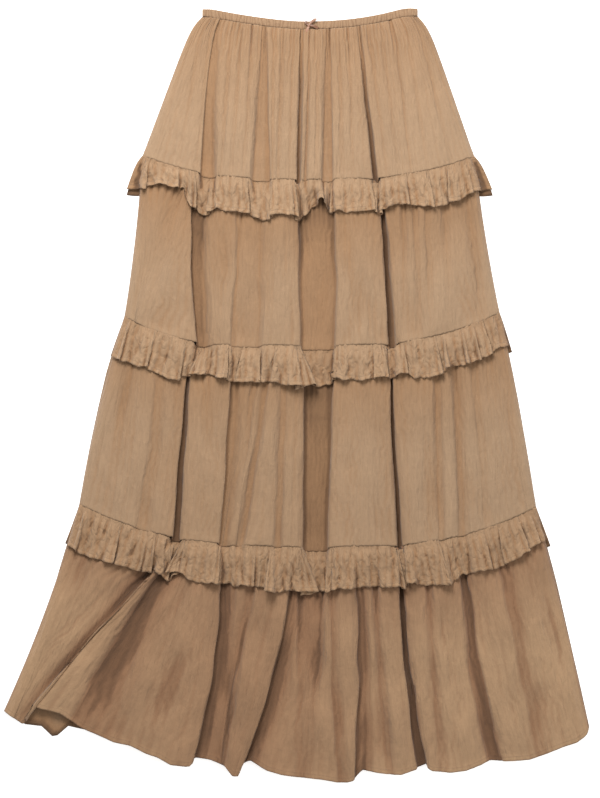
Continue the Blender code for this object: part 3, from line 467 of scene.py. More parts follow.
# %% Small relief
Crease = namedtuple("Crease", "count width length depth slant start")
Ripple = namedtuple("Ripple", "seed high wide long")
CREASE_WANDER = (0.2, 0.8)  # how far a crease wanders, in its own widths
CREASE_TURN = (15.0, 40.0)
CREASE_FADE_IN = 0.35
CREASE_FADE_OUT = 0.6
RIPPLE_WAVES = 14  # how many plain waves are added up


def creases(seed, crease, across, along):
    """Soft grooves at random places. across and along are each point's place on the cloth, in mm."""
    rng = np.random.default_rng(seed)
    relief = np.zeros_like(across)
    first, last, longest = across.min(), across.max(), along.max()
    for place in rng.uniform(first, last, crease.count):
        width = rng.uniform(*crease.width)
        length = rng.uniform(*crease.length)
        depth = rng.uniform(*crease.depth)
        start = rng.uniform(*crease.start) * longest
        wander = width * rng.uniform(*CREASE_WANDER)
        turn = rng.uniform(*CREASE_TURN)
        phase = rng.uniform(0.0, 6.3)
        lean = rng.normal(0.0, crease.slant)
        line = place + lean * (along - start) + wander * np.sin(along / turn + phase)
        fade_in = 1.0 if crease.start[1] == 0.0 else ramp((along - start) / (CREASE_FADE_IN * length))
        fade_out = ramp((start + length - along) / (CREASE_FADE_OUT * length))
        relief -= depth * np.exp(-(((across - line) / width) ** 2)) * fade_in * fade_out
    return relief


def ripples(ripple, number, across, along):
    """Smooth unevenness, about `high` mm up and down, `wide` mm across and `long` mm along.

    `number` is the tier's or the ruffle's, so that each has a draw of its own.
    """
    rng = np.random.default_rng(ripple.seed + number)
    total = np.zeros_like(across)
    for _ in range(RIPPLE_WAVES):
        turns_across = rng.uniform(0.5, 1.5) * math.tau / ripple.wide
        turns_along = rng.normal(0.0, 1.0) * math.tau / ripple.long
        total += np.sin(turns_across * across + turns_along * along + rng.uniform(0.0, math.tau))
    return ripple.high * (total / math.sqrt(2.0 * RIPPLE_WAVES))


# %% [markdown]
# ## Columns of points that run along the folds
#
# A crisp fold needs points along its edge. If the points ran straight down the page, a slanting fold
# would cross them and look like stairs. So each tier's columns run along the banks of its furrows.

# %% Columns along the furrows
CLOSEST_COLUMNS = 0.9
NARROW_BANK = 2.0  # a narrower bank needs one column only
BANK_COLUMNS = 2
SEAM_PUCKER = Ripple(95, 0.45, 8.0, 1.0)  # how a gathered seam wanders up and down
SEAM_POINTS = 600
ROLL_STEPS = (0.0, 1.2, 4.5, SIDE_ROLL)


def spaced(values, first, last):
    """The values kept in order, inside first and last and at least CLOSEST_COLUMNS apart."""
    values = np.array(values, dtype=float)
    for i in range(1, len(values)):
        values[i] = max(values[i], values[i - 1] + CLOSEST_COLUMNS)
    values[-1] = last
    for i in range(len(values) - 2, -1, -1):
        values[i] = min(values[i], values[i + 1] - CLOSEST_COLUMNS)
    values[0] = first
    return values


@functools.lru_cache
def tier_columns(number):
    """x of each column at a tier's top and low edge, and how far it bows half way down.

    Columns run along both ends of each furrow's banks, with more of them in between.
    """
    tier = TIERS[number]
    left_top, right_top = side_x(number, 0.0)
    left_low, right_low = side_x(number, 1.0)
    lines = [(left_top + step, left_low + step) for step in ROLL_STEPS]
    lines += [(right_top - step, right_low - step) for step in ROLL_STEPS]
    for furrow in tier.furrows:
        for side, bank in ((-1.0, furrow.left), (1.0, furrow.right)):
            for out in (0.0, bank):
                top = furrow.top + side * (0.5 * furrow.wide_top + out)
                low = furrow.low + side * (0.5 * furrow.wide_low + out * furrow.open)
                lines.append((top, low))
    lines.sort(key=sum)
    tops = spaced([line[0] for line in lines], left_top, right_top)
    lows = spaced([line[1] for line in lines], left_low, right_low)
    widths = 0.5 * (np.diff(tops) + np.diff(lows))
    fewest = np.where(widths > NARROW_BANK, BANK_COLUMNS, 1)
    counts = np.maximum(fewest, np.ceil(widths / FRONT_LOOKS[number].widest)).astype(int)
    steps = [i + np.arange(n) / n for i, n in enumerate(counts)] + [[len(tops) - 1.0]]
    index = np.concatenate(steps)
    known = np.arange(len(tops))
    tops, lows = np.interp(index, known, tops), np.interp(index, known, lows)
    places = [left_top] + [furrow.top for furrow in tier.furrows] + [right_top]
    bows = [0.0] + [furrow.bow for furrow in tier.furrows] + [0.0]
    return tops, lows, np.interp(tops, places, bows)


def along_columns(number, tops, lows, bows, down):
    """x of each column at a share `down` of the tier's length."""
    return mix(tops, lows, down) + bows * arch(down) + sideways(number, tops, down)


@functools.lru_cache
def seam_chain(number):
    """x and y of the seam above tier `number`. One past the last tier it is the front's hem."""
    if number == len(TIERS):
        return [point.x for point in FRONT_HEM], [point.y for point in FRONT_HEM]
    seam = SEAMS[number]
    x = np.linspace(seam.left, seam.right, SEAM_POINTS)
    height = own_height(number - 1, x, np.ones_like(x)) - front_floor(number - 1, 1.0)
    return x, smile(seam, x) + seam.lift * height + ripples(SEAM_PUCKER, number, x, 0.0 * x)


def seam_y(number, x):
    if number == 0:
        return smile(SEAMS[0], x)
    return np.interp(x, *seam_chain(number))


# %% [markdown]
# ## Gauze and ribbon
#
# The cloth is crinkled cotton gauze: an open plain weave of uneven yarns that shrank into fine
# wrinkles along its warp. It is quite matt and a little hairy. Its tan colour is painted darker where
# shade falls: each sheet carries this painted shade as an attribute, from 0 on open cloth to 1 in a
# slit, and `from_edge` is the way from its free edge, for the stitched hem. The tiers, the hem tier,
# the ruffles and the shirred waistband have each their own wrinkles. The bow is satin ribbon,
# smoother and pinker.

# %% Materials
WARP_MM = 1.5  # real yarns are 0.35 mm apart, too fine to show, so they are drawn in small bundles
SLUB_MM = 16.0
CRINKLE_MM = 2.8
CRINKLE_LONG_MM = 17.0
WRINKLE_MM = 7.5
PATCH_MM = 46.0
DENT_MM = 13.0
HEM_MM = 5.5
SLIT_FROM = 0.82  # how much painted shade a place has before its colour sinks towards the painted slit colour
FLOAT_MM = 0.25
RANGE = ("From Min", "From Max", "To Min", "To Max")
GAUZE_FINISH = {
    "Roughness": 0.9,
    "Specular IOR Level": 0.2,
    "Sheen Weight": 0.12,
    "Sheen Roughness": 0.6,
}
SATIN_FINISH = {"Roughness": 0.42, "Anisotropic": 0.5, "Specular IOR Level": 0.5}


def stretched_noise(tree, place, across_mm, along_mm, detail, rough, distortion=0.0):
    """Noise whose grains are across_mm by along_mm on the cloth."""
    scale = (1000.0 / across_mm, 1000.0 / along_mm, 1.0)
    put = add_node(tree, "ShaderNodeMapping", {"Scale": scale}, {"Vector": place})
    grain = {"Scale": 1.0, "Detail": detail, "Roughness": rough, "Distortion": distortion}
    return add_node(tree, "ShaderNodeTexNoise", grain, {"Vector": put}, "Fac")


def gauze(name, lit, shade, deep, wrinkle_long, wrinkle_deep, mottle):
    """Crinkled cotton gauze: `lit` on open cloth, with painted shade: `shade` in valleys, `deep` in
    slits.

    wrinkle_long and wrinkle_deep: how long its sharp wrinkles are, in mm, and how strong. mottle: how
    uneven its dye is.
    """
    made, tree, shader = start_material(name, GAUZE_FINISH)
    node = functools.partial(add_node, tree)
    noise = functools.partial(stretched_noise, tree, node("ShaderNodeUVMap"))
    hollow = node("ShaderNodeAttribute", {"attribute_name": "hollow"}, out="Fac")
    from_edge = node("ShaderNodeAttribute", {"attribute_name": "from_edge"}, out="Fac")

    warp = noise(WARP_MM, SLUB_MM, 2.0, 0.6)
    weft = noise(0.5 * SLUB_MM, 0.6 * WARP_MM, 2.0, 0.6)
    crinkle = noise(CRINKLE_MM, CRINKLE_LONG_MM, 3.0, 0.6, 0.8)
    dents = noise(DENT_MM, 1.5 * DENT_MM, 3.0, 0.5, 0.6)
    patch = noise(PATCH_MM, 1.3 * PATCH_MM, 4.0, 0.6)
    wander = noise(WRINKLE_MM, wrinkle_long, 1.0, 0.4, 0.25)
    yarns = node("ShaderNodeMath", {"operation": "ADD"}, {0: warp, 1: weft})
    off_half = node("ShaderNodeMath", {"operation": "SUBTRACT", 1: 0.5}, {0: wander})
    ridge = node("ShaderNodeMath", {"operation": "ABSOLUTE"}, {0: off_half})
    past_hem = node("ShaderNodeMath", {"operation": "SUBTRACT", 1: MM * HEM_MM}, {0: from_edge})
    off_line = node("ShaderNodeMath", {"operation": "ABSOLUTE"}, {0: past_hem})

    shares = []
    for value, *limits in (
        (ridge, 0.0, 0.2, 0.0, 1.0),
        (off_line, MM * 0.2, MM * 0.9, 1.0, 0.0),
        (past_hem, 0.0, MM * 0.4, 1.0, 0.0),
        (hollow, SLIT_FROM, 1.0, 0.0, 1.0),
    ):
        shares.append(node("ShaderNodeMapRange", dict(zip(RANGE, limits)), {"Value": value}))
    wrinkle, stitched, doubled, in_slit = shares

    # painted shade: from the lit colour to the shade colour, and in slits towards the deep colour
    valley = {"data_type": "RGBA", 6: linear(lit), 7: linear(shade)}
    colour = node("ShaderNodeMix", valley, {0: hollow}, out=2)
    slit = {"data_type": "RGBA", 7: linear(deep)}
    colour = node("ShaderNodeMix", slit, {0: in_slit, 6: colour}, out=2)
    # the crinkle and wrinkle tones paint shade into low places, the hem band tone paints a highlight
    for value, *limits in (
        (patch, 0.3, 0.7, 1.0 - mottle, 1.0 + 0.9 * mottle),
        (yarns, 0.75, 1.25, 0.96, 1.035),
        (crinkle, 0.3, 0.7, 0.94, 1.05),
        (wrinkle, 0.0, 0.4, 1.0 - 0.03 * wrinkle_deep, 1.0),
        (doubled, 0.0, 1.0, 1.0, 1.04),
        (stitched, 0.0, 1.0, 1.0, 0.86),
    ):
        tone = node("ShaderNodeMapRange", dict(zip(RANGE, limits)), {"Value": value})
        colour = node("ShaderNodeVectorMath", {"operation": "SCALE"}, {0: colour, "Scale": tone})
    tree.links.new(colour, shader.inputs["Base Color"])

    facing = {}
    for height, strength, tall_mm in (
        (yarns, 0.35, 0.25),
        (dents, 0.6, 2.2),
        (crinkle, 1.0, 0.8),
        (wrinkle, wrinkle_deep, 1.6),
        (doubled, 0.9, 0.6),
    ):
        relief = {"Strength": strength, "Distance": MM * tall_mm}
        facing = {"Normal": node("ShaderNodeBump", relief, {"Height": height, **facing})}
    tree.links.new(facing["Normal"], shader.inputs["Normal"])
    return made


# each gauze: its lit colour, then its painted shade colours for valleys and for slits
gauze_cloth = gauze("crinkled_cotton_gauze", "#977C61", "#896646", "#513A28", 60.0, 0.3, 0.05)
# its deeper shade colour paints the lower tier darker and warmer; its dye is also more uneven
hem_tier_cloth = gauze("hem_tier_gauze_deeper_painted_shade", "#9F8061", "#7B573D", "#513A28", 40.0, 0.35, 0.10)
ruffle_cloth = gauze("crumpled_cotton_gauze", "#9B7F63", "#896646", "#513A28", 12.0, 0.6, 0.06)
casing_cloth = gauze("shirred_gauze_casing", "#92755A", "#6F5239", "#4A3524", 9.0, 0.2, 0.05)


def satin(name, lit, turned):
    """Woven satin ribbon: floats along its length, so its shine is drawn out across it."""
    made, tree, shader = start_material(name, SATIN_FINISH)
    node = functools.partial(add_node, tree)
    hollow = node("ShaderNodeAttribute", {"attribute_name": "hollow"}, out="Fac")
    floats = stretched_noise(tree, node("ShaderNodeUVMap"), FLOAT_MM, 40.0 * FLOAT_MM, 2.0, 0.5)
    limits = dict(zip(RANGE, (0.3, 0.7, 0.0, 0.5)))
    streak = node("ShaderNodeMapRange", limits, {"Value": floats})
    colours = {"data_type": "RGBA", 6: linear(lit), 7: linear(turned)}
    streaked = node("ShaderNodeMix", colours, {0: streak}, out=2)
    # painted shade on an arm mixes its colour towards the dark tone
    toned = node("ShaderNodeMix", colours, {0: hollow, 6: streaked}, out=2)
    tree.links.new(toned, shader.inputs["Base Color"])
    relief = {"Strength": 0.3, "Distance": MM * 0.1}
    bump = node("ShaderNodeBump", relief, {"Height": floats})
    tree.links.new(bump, shader.inputs["Normal"])
    return made


# the dark tone both streaks the floats and is the arms' painted shade
satin_ribbon = satin("polyester_satin_ribbon", "#A67C65", "#684632")

# %% [markdown]
# ## A sheet of cloth from a net of points
#
# Blender's grid primitive gives a flat net of faces with a UV map. Its points are then moved on to the
# folds, its UVs are set to millimetres of real cloth so that the weave keeps its size on steep banks,
# and Solidify gives it the thickness of one layer.

# %% Making a sheet
CLOTH_THICK = 0.6


def cloth_lengths(points, axis):
    """How far along the cloth each point is, measured over its folds."""
    steps = np.linalg.norm(np.diff(points, axis=axis), axis=2)
    return np.insert(np.cumsum(steps, axis=axis), 0, 0.0, axis=axis)


def add_sheet(name, points, material, hollow, thick=CLOTH_THICK, hemmed=True, beside=0):
    """A sheet through points in mm: rows from the low edge up, each row from left to right.

    Left of the column `beside`, its weave is measured anew in each row, from the left side.
    """
    rows, columns = points.shape[:2]
    bpy.ops.object.select_all(action="DESELECT")
    bpy.ops.mesh.primitive_grid_add(x_subdivisions=columns - 1, y_subdivisions=rows - 1, size=1.0)
    sheet = bpy.context.object
    sheet.name = name
    mesh = sheet.data
    mesh.name = name
    mesh.vertices.foreach_set("co", (MM * points).ravel())
    middle = rows // 2
    lengths = cloth_lengths(points, 1)
    across = np.where(np.arange(columns) < beside, lengths, lengths[middle])
    along = cloth_lengths(points, 0)
    uv = MM * np.stack([across, along], axis=-1).reshape(-1, 2)
    corner = np.zeros(len(mesh.loops), dtype=np.int32)
    mesh.loops.foreach_get("vertex_index", corner)
    mesh.uv_layers.active.data.foreach_set("uv", uv[corner].ravel())
    from_edge = MM * along if hemmed else np.ones((rows, columns))
    for layer_name, values in (("hollow", hollow), ("from_edge", from_edge)):
        layer = mesh.attributes.new(layer_name, "FLOAT", "POINT")
        layer.data.foreach_set("value", values.ravel())
    mesh.materials.append(material)
    mesh.update()
    wall = sheet.modifiers.new("thickness", "SOLIDIFY")
    wall.thickness = MM * thick
    wall.offset = -1.0
    bpy.ops.object.modifier_apply(modifier=wall.name)
    bpy.ops.object.shade_smooth()
    print(name, "triangles:", sum(len(face.vertices) - 2 for face in mesh.polygons))
    return sheet


def declare(sheet, node):
    """Puts a sheet under the root, so that it moves with it, and hides the imported part it stands for.
    """
    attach(sheet, "root")
    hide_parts(node)


# %% [markdown]
# ## Letting cloth settle
#
# A gathered strip is cut longer than the seam that it is sewn into, and the extra length has to go
# somewhere. `settle` starts from a given shape and moves its points, a little each round,
# until every thread has its cut length, nothing bends too sharply and nothing is inside the cloth
# below. What is left over stands up as gathers and wrinkles, as it does on the real strip.

# %% A small cloth solver
Stiffness = namedtuple("Stiffness", "thread skew bend_across bend_along sharpest hold slow")
FALL = 0.012  # how far a free point falls each round, in mm
DRAG = 0.82


def adjust(points, free, first, second, length, strength, only_push=False):
    """Moves each pair of points towards its length apart. A point's `free` is 0 where it is sewn."""
    gap = points[second] - points[first]
    now = np.maximum(np.linalg.norm(gap, axis=-1, keepdims=True), 1e-6)
    error = now - length
    if only_push:
        error = np.minimum(error, 0.0)
    weight_a, weight_b = free[first], free[second]
    step = strength * error / now / np.maximum(weight_a + weight_b, 1e-6) * gap
    points[first] += weight_a * step
    points[second] -= weight_b * step


def slow_part(drift, reach):
    """The drift averaged over each point and its `reach` neighbours to either side."""
    width = 2 * reach + 1
    padded = np.pad(drift, ((0, 0), (reach + 1, reach), (0, 0)), mode="edge")
    total = np.cumsum(padded, axis=1)
    return (total[:, width:] - total[:, :-width]) / width


def pairs(count, reach):
    """Slices that pair each index with the one `reach` further on, in sets that share none."""
    stride = 2 * reach
    sets = [(slice(k, count - reach, stride), slice(k + reach, count, stride)) for k in range(stride)]
    return [pair for pair in sets if pair[1].start < count]


def settle(start, across, along, free, floor_z, stiffness, rounds):
    """The sheet's points after it has settled.

    across and along: the cut length of each thread between two points. free: 0 where the sheet is
    sewn, 1 where it isn't. floor_z: a function that gives the lowest a point may lie.
    """
    points, before = start.copy(), start.copy()
    rows, columns = start.shape[:2]
    everywhere, left, right = slice(None), slice(0, columns - 1), slice(1, columns)
    free = free[..., None]
    wide = 0.5 * (across[1:] + across[:-1])
    tall = 0.5 * (along[:, 1:] + along[:, :-1])
    side = np.diff(start, axis=1)[:-1]
    up = np.diff(start, axis=0)[:, :-1]
    lean = np.sum(side * up, axis=2) / np.linalg.norm(side, axis=2) / np.linalg.norm(up, axis=2)
    falling = np.sqrt(wide**2 + tall**2 - 2.0 * wide * tall * lean)[..., None]
    rising = np.sqrt(wide**2 + tall**2 + 2.0 * wide * tall * lean)[..., None]
    two_across = (across[:, 1:] + across[:, :-1])[..., None]
    two_along = (along[1:] + along[:-1])[..., None]
    across, along = across[..., None], along[..., None]
    for _ in range(rounds):
        move = DRAG * (points - before)
        before = points.copy()
        points += free * move
        points[..., 2] -= FALL * free[..., 0]
        for first, second in pairs(columns, 1):
            ends = (everywhere, first), (everywhere, second)
            adjust(points, free, *ends, across[:, first], stiffness.thread)
        for first, second in pairs(rows, 1):
            adjust(points, free, first, second, along[first], stiffness.thread)
        for first, second in pairs(rows, 1):
            adjust(points, free, (first, left), (second, right), rising[first], stiffness.skew)
            adjust(points, free, (first, right), (second, left), falling[first], stiffness.skew)
        for first, second in pairs(columns, 2):
            ends = (everywhere, first), (everywhere, second)
            adjust(points, free, *ends, two_across[:, first], stiffness.bend_across)
            adjust(points, free, *ends, stiffness.sharpest * two_across[:, first], 1.0, True)
        for first, second in pairs(rows, 2):
            adjust(points, free, first, second, two_along[first], stiffness.bend_along)
        points += stiffness.hold * free * slow_part(start - points, stiffness.slow)
        low = floor_z(points[..., 0], points[..., 1])
        lifted = np.maximum(points[..., 2], low)
        points[..., 2] = np.where(free[..., 0] > 0.0, lifted, points[..., 2])
    return points


# %% [markdown]
# ## The fronts of the four tiers
#
# Each tier is a plain strip of gauze, gathered on to the edge above it. The front is the part with
# all the folds. Its low edge rolls down into the seam, which draws a thin dark line above the ruffle.
# `rows` is how many rows of points its net has, and `widest` the most that two columns are apart.
# `waves` and `dimples` are how high its slow unevenness stands, `sway` how far its folds wander,
# `calm` how much of its creases is left low down, `gather_wide` how wide its fine gathers are, and
# `gather_shade` how much painted shade it gets near its top edge, in them and under the ruffle.

# %% How the fronts look
FRONT_LOOKS = table(
    "rows widest waves dimples sway calm gather_wide gather_shade gathers creases flat",
    (
        118, 1.4, 1.0, 0.0, 0.7, 0.45, 4.4, 0.4,
        Crease(74, (0.9, 1.9), (20.0, 80.0), (0.8, 2.0), 0.03, (0.0, 0.0)),
        Crease(34, (1.4, 3.6), (40.0, 150.0), (0.4, 1.2), 0.05, (0.0, 0.8)),
        (520.0, 215.0),
    ),
    (
        120, 1.7, 2.6, 0.3, 1.4, 1.0, 5.5, 0.8,
        Crease(60, (1.6, 3.0), (55.0, 105.0), (0.5, 1.6), 0.03, (0.0, 0.0)),
        Crease(40, (2.0, 6.0), (60.0, 190.0), (0.3, 1.3), 0.05, (0.1, 0.8)),
        (600.0, 225.0),
    ),
    (
        130, 1.85, 1.7, 0.4, 1.6, 1.0, 5.5, 0.75,
        Crease(70, (1.6, 3.0), (60.0, 115.0), (0.5, 1.6), 0.03, (0.0, 0.0)),
        Crease(44, (2.0, 7.0), (60.0, 220.0), (0.3, 1.4), 0.05, (0.1, 0.8)),
        (720.0, 270.0),
    ),
    (
        150, 2.4, 2.9, 0.8, 1.8, 1.2, 6.0, 0.7,
        Crease(84, (1.6, 3.4), (60.0, 125.0), (0.5, 1.7), 0.03, (0.0, 0.0)),
        Crease(56, (2.5, 8.0), (60.0, 240.0), (0.3, 1.6), 0.06, (0.1, 0.8)),
        (900.0, 300.0),
    ),
)
GATHERS_SEED = 10
GATHERS_KEPT = 0.8
CREASES_SEED = 20
CREASES_KEPT = 0.7
CALM_FROM = 110.0  # how far below its top edge a tier's cloth is fully calm
UNEVEN = Ripple(30, 0.7, 46.0, 210.0)
WAVES = Ripple(35, 1.0, 62.0, 185.0)
WAVES_FROM = 60.0
DIMPLES = Ripple(36, 1.0, 34.0, 105.0)
DIMPLES_FROM = 50.0
GATHER_SEED = 40
GATHER_HIGH = 1.15
GATHER_LONG = 45.0
SWAY = Ripple(46, 1.0, 80.0, 120.0)
ROUGH_SEED = 50
ROUGH = 0.08  # how far points start off their places, so that the cloth can buckle
LEAST_WIDTH = 0.01
CROWDED_REACH = 4  # relief is lower where columns crowd, as measured over so many to either side
SIDE_RELIEF = 0.15  # how much of its relief a front keeps at its sides
LOW_RELIEF = 0.35  # the same in the seam at its low edge
LOW_CALM = 12.0
TOP_FULLNESS = 1.25  # how much longer the cloth is than the net, in the gathers and below them
TIER_FULLNESS = 1.006
FULLNESS_LONG = 70.0
TIER_STIFFNESS = Stiffness(0.9, 0.15, 0.005, 0.10, 0.6, 0.08, 2)
TIER_ROUNDS = 120
SIDE_SEWN = 3  # columns at each side that stay where they are
SINK = 0.6  # how far creases may go below the furrows' floor
SEAM_ROLL = 0.4  # how far a low edge rolls down into its seam
SEAM_ROLL_WIDE = 1.4
TUCK = 2.4  # how far a top edge is tucked down under the edge that it is sewn to
BAND_TUCK = 0.5  # the same under the waistband
TUCK_WIDE = 8.0
SIDE_CLOSE = 1.9  # how far the side fold comes down to meet the back
SIDE_CLOSE_WIDE = 6.0
ABOVE_BACK = 1.7
HEM_WIDE = 6.0
HEM_THICK = 0.5


def front_relief(number, across, along):
    """How far gathers, creases and waves stand off a front's folds, in mm."""
    look = FRONT_LOOKS[number]
    relief = GATHERS_KEPT * creases(GATHERS_SEED + number, look.gathers, across, along)
    relief += CREASES_KEPT * creases(CREASES_SEED + number, look.creases, across, along)
    relief *= mix(1.0, look.calm, ramp(along / CALM_FROM))
    relief += ripples(UNEVEN, number, across, along)
    relief += look.waves * ripples(WAVES, number, across, along) * ramp(along / WAVES_FROM)
    relief += look.dimples * ripples(DIMPLES, number, across, along) * ramp(along / DIMPLES_FROM)
    gather = Ripple(GATHER_SEED, GATHER_HIGH, look.gather_wide, 1.0)
    gathered = ripples(gather, number, across[0], 0.0 * across[0])
    return relief + gathered * (1.0 - ramp(along / GATHER_LONG))


# %% Painted shade in the folds
PAINTED_SHADE_POWER = 1.25
PAINTED_SHADE_SOFT = 1.0  # keeps low piles from getting much painted shade
SHADE_X = -70.0  # where the tiers' painted shade is strongest, most on the hem tier, and how wide it is
SHADE_WIDE = 170.0
GATHER_SHADE_LONG = 170.0
CREASE_REACH = 3  # how many columns to either side a crease, or a fold, is compared with
CREASE_DEEP = 1.3  # how far below them it lies when its painted shade is full
CREASE_SHARE = 0.5
FOLD_REACH = 14
FOLD_DEEP = 3.5
FOLD_SHARE = 0.6


def darken(hollow, share):
    """Adds painted shade: takes a share of the light that is left."""
    return hollow + share * (1.0 - hollow)


def cavities(z, reach=CREASE_REACH, deep=CREASE_DEEP):
    """From 0 on even cloth to 1 where it lies `deep` below what is beside it."""
    return np.clip((slow_part(z[..., None], reach)[..., 0] - z) / deep, 0.0, 1.0)


def front_painted_shade(number, hollow, x, z, laid, along):
    """The painted shade of each place of a front, from 0 on a crest to 1 in a slit."""
    shade = TIERS[number].shade * np.exp(-(((x - SHADE_X) / SHADE_WIDE) ** 2))
    in_gathers = FRONT_LOOKS[number].gather_shade * (1.0 - ramp(along / GATHER_SHADE_LONG))
    hollow = darken(hollow, np.maximum(shade, in_gathers))
    hollow = darken(hollow, CREASE_SHARE * cavities(z))
    stood = z if number == LAST else z - laid  # wide valleys of the upper tiers aren't darkened twice
    return darken(hollow, FOLD_SHARE * cavities(stood, FOLD_REACH, FOLD_DEEP))


# %% Fronts
def front_points(number):
    """The points of one front, and the painted shade of each place."""
    look, last = FRONT_LOOKS[number], number == LAST
    tops, lows, bows = tier_columns(number)
    down = np.linspace(1.0, 0.0, look.rows)[:, None] * np.ones_like(tops)
    x = along_columns(number, tops, lows, bows, down)
    y = mix(seam_y(number, tops), seam_y(number + 1, lows), down)
    laid = front_height(number, x, down)
    floor_z = front_floor(number, down)
    pile = pile_height(number, x, down)
    # painted shade, from how far the cloth lies below its pile
    hollow = np.clip((pile - laid) / (pile - floor_z + PAINTED_SHADE_SOFT), 0.0, 1.0) ** PAINTED_SHADE_POWER
    length = float(np.mean(y[-1] - y[0]))
    across = np.broadcast_to(0.5 * (tops + lows), x.shape)
    along, from_low = down * length, (1.0 - down) * length
    left, right = side_x(number, down)
    inside = ramp(np.minimum(x - left, right - x) / SIDE_ROLL)
    spread = np.gradient(x, axis=1) / np.maximum(np.gradient(across, axis=1), LEAST_WIDTH)
    spread = np.clip(slow_part(spread[..., None], CROWDED_REACH)[..., 0], 0.0, 1.0)
    low_calm = 1.0 if last else ramp(from_low / LOW_CALM)
    lowest = floor_z - SINK
    relief = spread * front_relief(number, across, along) * mix(SIDE_RELIEF, 1.0, inside)
    z = np.maximum(laid + relief * mix(LOW_RELIEF, 1.0, low_calm), lowest)
    x = x + lap_shift(number, x, down)
    sway = look.sway * ripples(SWAY, number, across, along)
    start = np.stack([x + sway * arch(down) * inside * spread**2, y, z], axis=-1)
    free = np.ones_like(x)
    free[0] = 1.0 if last else 0.0
    free[-1] = 0.0
    free[:, :SIDE_SEWN] = 0.0
    free[:, -SIDE_SEWN:] = 0.0
    start[..., 2] += free * np.random.default_rng(ROUGH_SEED + number).normal(0.0, ROUGH, x.shape)
    below_top = 0.5 * (along[:, 1:] + along[:, :-1])
    fullness = mix(TOP_FULLNESS, TIER_FULLNESS, ramp(below_top / FULLNESS_LONG))
    cut_across = fullness * np.linalg.norm(np.diff(start, axis=1), axis=2)
    cut_along = np.linalg.norm(np.diff(start, axis=0), axis=2)
    points = settle(
        start,
        cut_across,
        cut_along,
        free,
        lambda px, py: lowest,
        TIER_STIFFNESS,
        TIER_ROUNDS,
    )
    x, y, z = points[..., 0], points[..., 1], points[..., 2]
    if last:
        z = z + HEM_THICK * (from_low < HEM_WIDE)
    else:
        z = z - SEAM_ROLL * (1.0 - ramp(from_low / SEAM_ROLL_WIDE)) ** 2
    z = z - (TUCK if number else BAND_TUCK) * (1.0 - ramp(along / TUCK_WIDE))
    z = z - SIDE_CLOSE * (1.0 - ramp(np.minimum(x - left, right - x) / SIDE_CLOSE_WIDE))
    hollow = front_painted_shade(number, hollow, x, z, laid, along)
    return np.stack([x, y, np.maximum(z, ABOVE_BACK)], axis=-1), hollow


fronts = []
for number, tier in enumerate(TIERS):
    points, hollow = front_points(number)
    hemmed = number == LAST
    cloth = hem_tier_cloth if hemmed else gauze_cloth
    beside = int(np.searchsorted(tier_columns(number)[0], tier.furrows[0].top)) if hemmed else 0
    name = tier.name + "_front_cloth"
    front = add_sheet(name, points, cloth, hollow, hemmed=hemmed, beside=beside)
    declare(front, tier.name + "_front")
    fronts.append(front)

# %% [markdown]
# ## The backs
#
# The back of the skirt carries the weight of the pile, so it lies nearly flat on the floor with a few
# low folds. Little of it is seen: its sides, and its corner where the front's hem is folded up.

# %% Backs
BACK_RIDGE = 1.5
BACK_RIDGES = 5
RIDGE_WANDER = 0.22  # how unevenly they are spaced, as a share of their spacing
RIDGE_TURN = 7.0
RIDGE_LEAN = 0.1
RIDGE_SHARP = 3.2
RIDGE_SIDES = 8.0  # one part in so many at each side has none
BACK_COLUMNS = 110
BACK_ROWS = 44
BACK_Z = CLOTH_THICK + 0.1
BACK_SHADE_WIDE = 40.0
UNDER_SHADE = 0.95


def back_ridges(x, down, left, right):
    """Low folds of a back panel, spaced unevenly, none of them at its sides."""
    across = (x - left) / (right - left)
    turn = BACK_RIDGES * across + RIDGE_WANDER * np.sin(RIDGE_TURN * across) + RIDGE_LEAN * down
    ridge = ramp(1.0 - RIDGE_SHARP * np.abs(turn - np.floor(turn) - 0.5))
    return BACK_RIDGE * ridge * ramp(RIDGE_SIDES * across) * ramp(RIDGE_SIDES * (1.0 - across))


def under_shade(points, wide):
    """Painted shade on a sheet: full at its low edge, fading over `wide` mm."""
    return UNDER_SHADE * (1.0 - ramp((points[..., 1] - points[:1, :, 1]) / wide))


def back_points(number):
    down = np.linspace(1.0, 0.0, BACK_ROWS)[:, None] * np.ones(BACK_COLUMNS)
    left, right = side_x(number, down)
    x = mix(left, right, np.linspace(0.0, 1.0, BACK_COLUMNS))
    edge = smile(SEAMS[number + 1], x)
    if number == LAST:
        drops = [point.drop for point in BACK_CORNER]
        edge = edge - np.interp(x, [point.x for point in BACK_CORNER], drops)
    y = mix(smile(SEAMS[number], x), edge, down)
    z = back_bed(number, down) + back_ridges(x, down, left, right) + BACK_Z
    return np.stack([x, y, z], axis=-1)


for number, tier in enumerate(TIERS):
    points = back_points(number)
    shaded = under_shade(points, BACK_SHADE_WIDE)
    back = add_sheet(tier.name + "_back_cloth", points, gauze_cloth, shaded, hemmed=number == LAST)
    declare(back, tier.name + "_back")

# %% [markdown]
# ## The ruffles
#
# A ruffle is a narrow strip, longer than the seam that it is sewn into, with a turned hem on its free
# edge. Its length is taken up by pleats that lap over their neighbours, some to the left and some to
# the right: `over` says how far each one's free edge goes past its place in the seam. Rays from above
# map the relief of the tier below, slits narrower than a ruffle can dip into are bridged, and the
# strip is laid on that, with flutes that open towards its free edge. Then it settles, and its spare
# length turns into gathers.

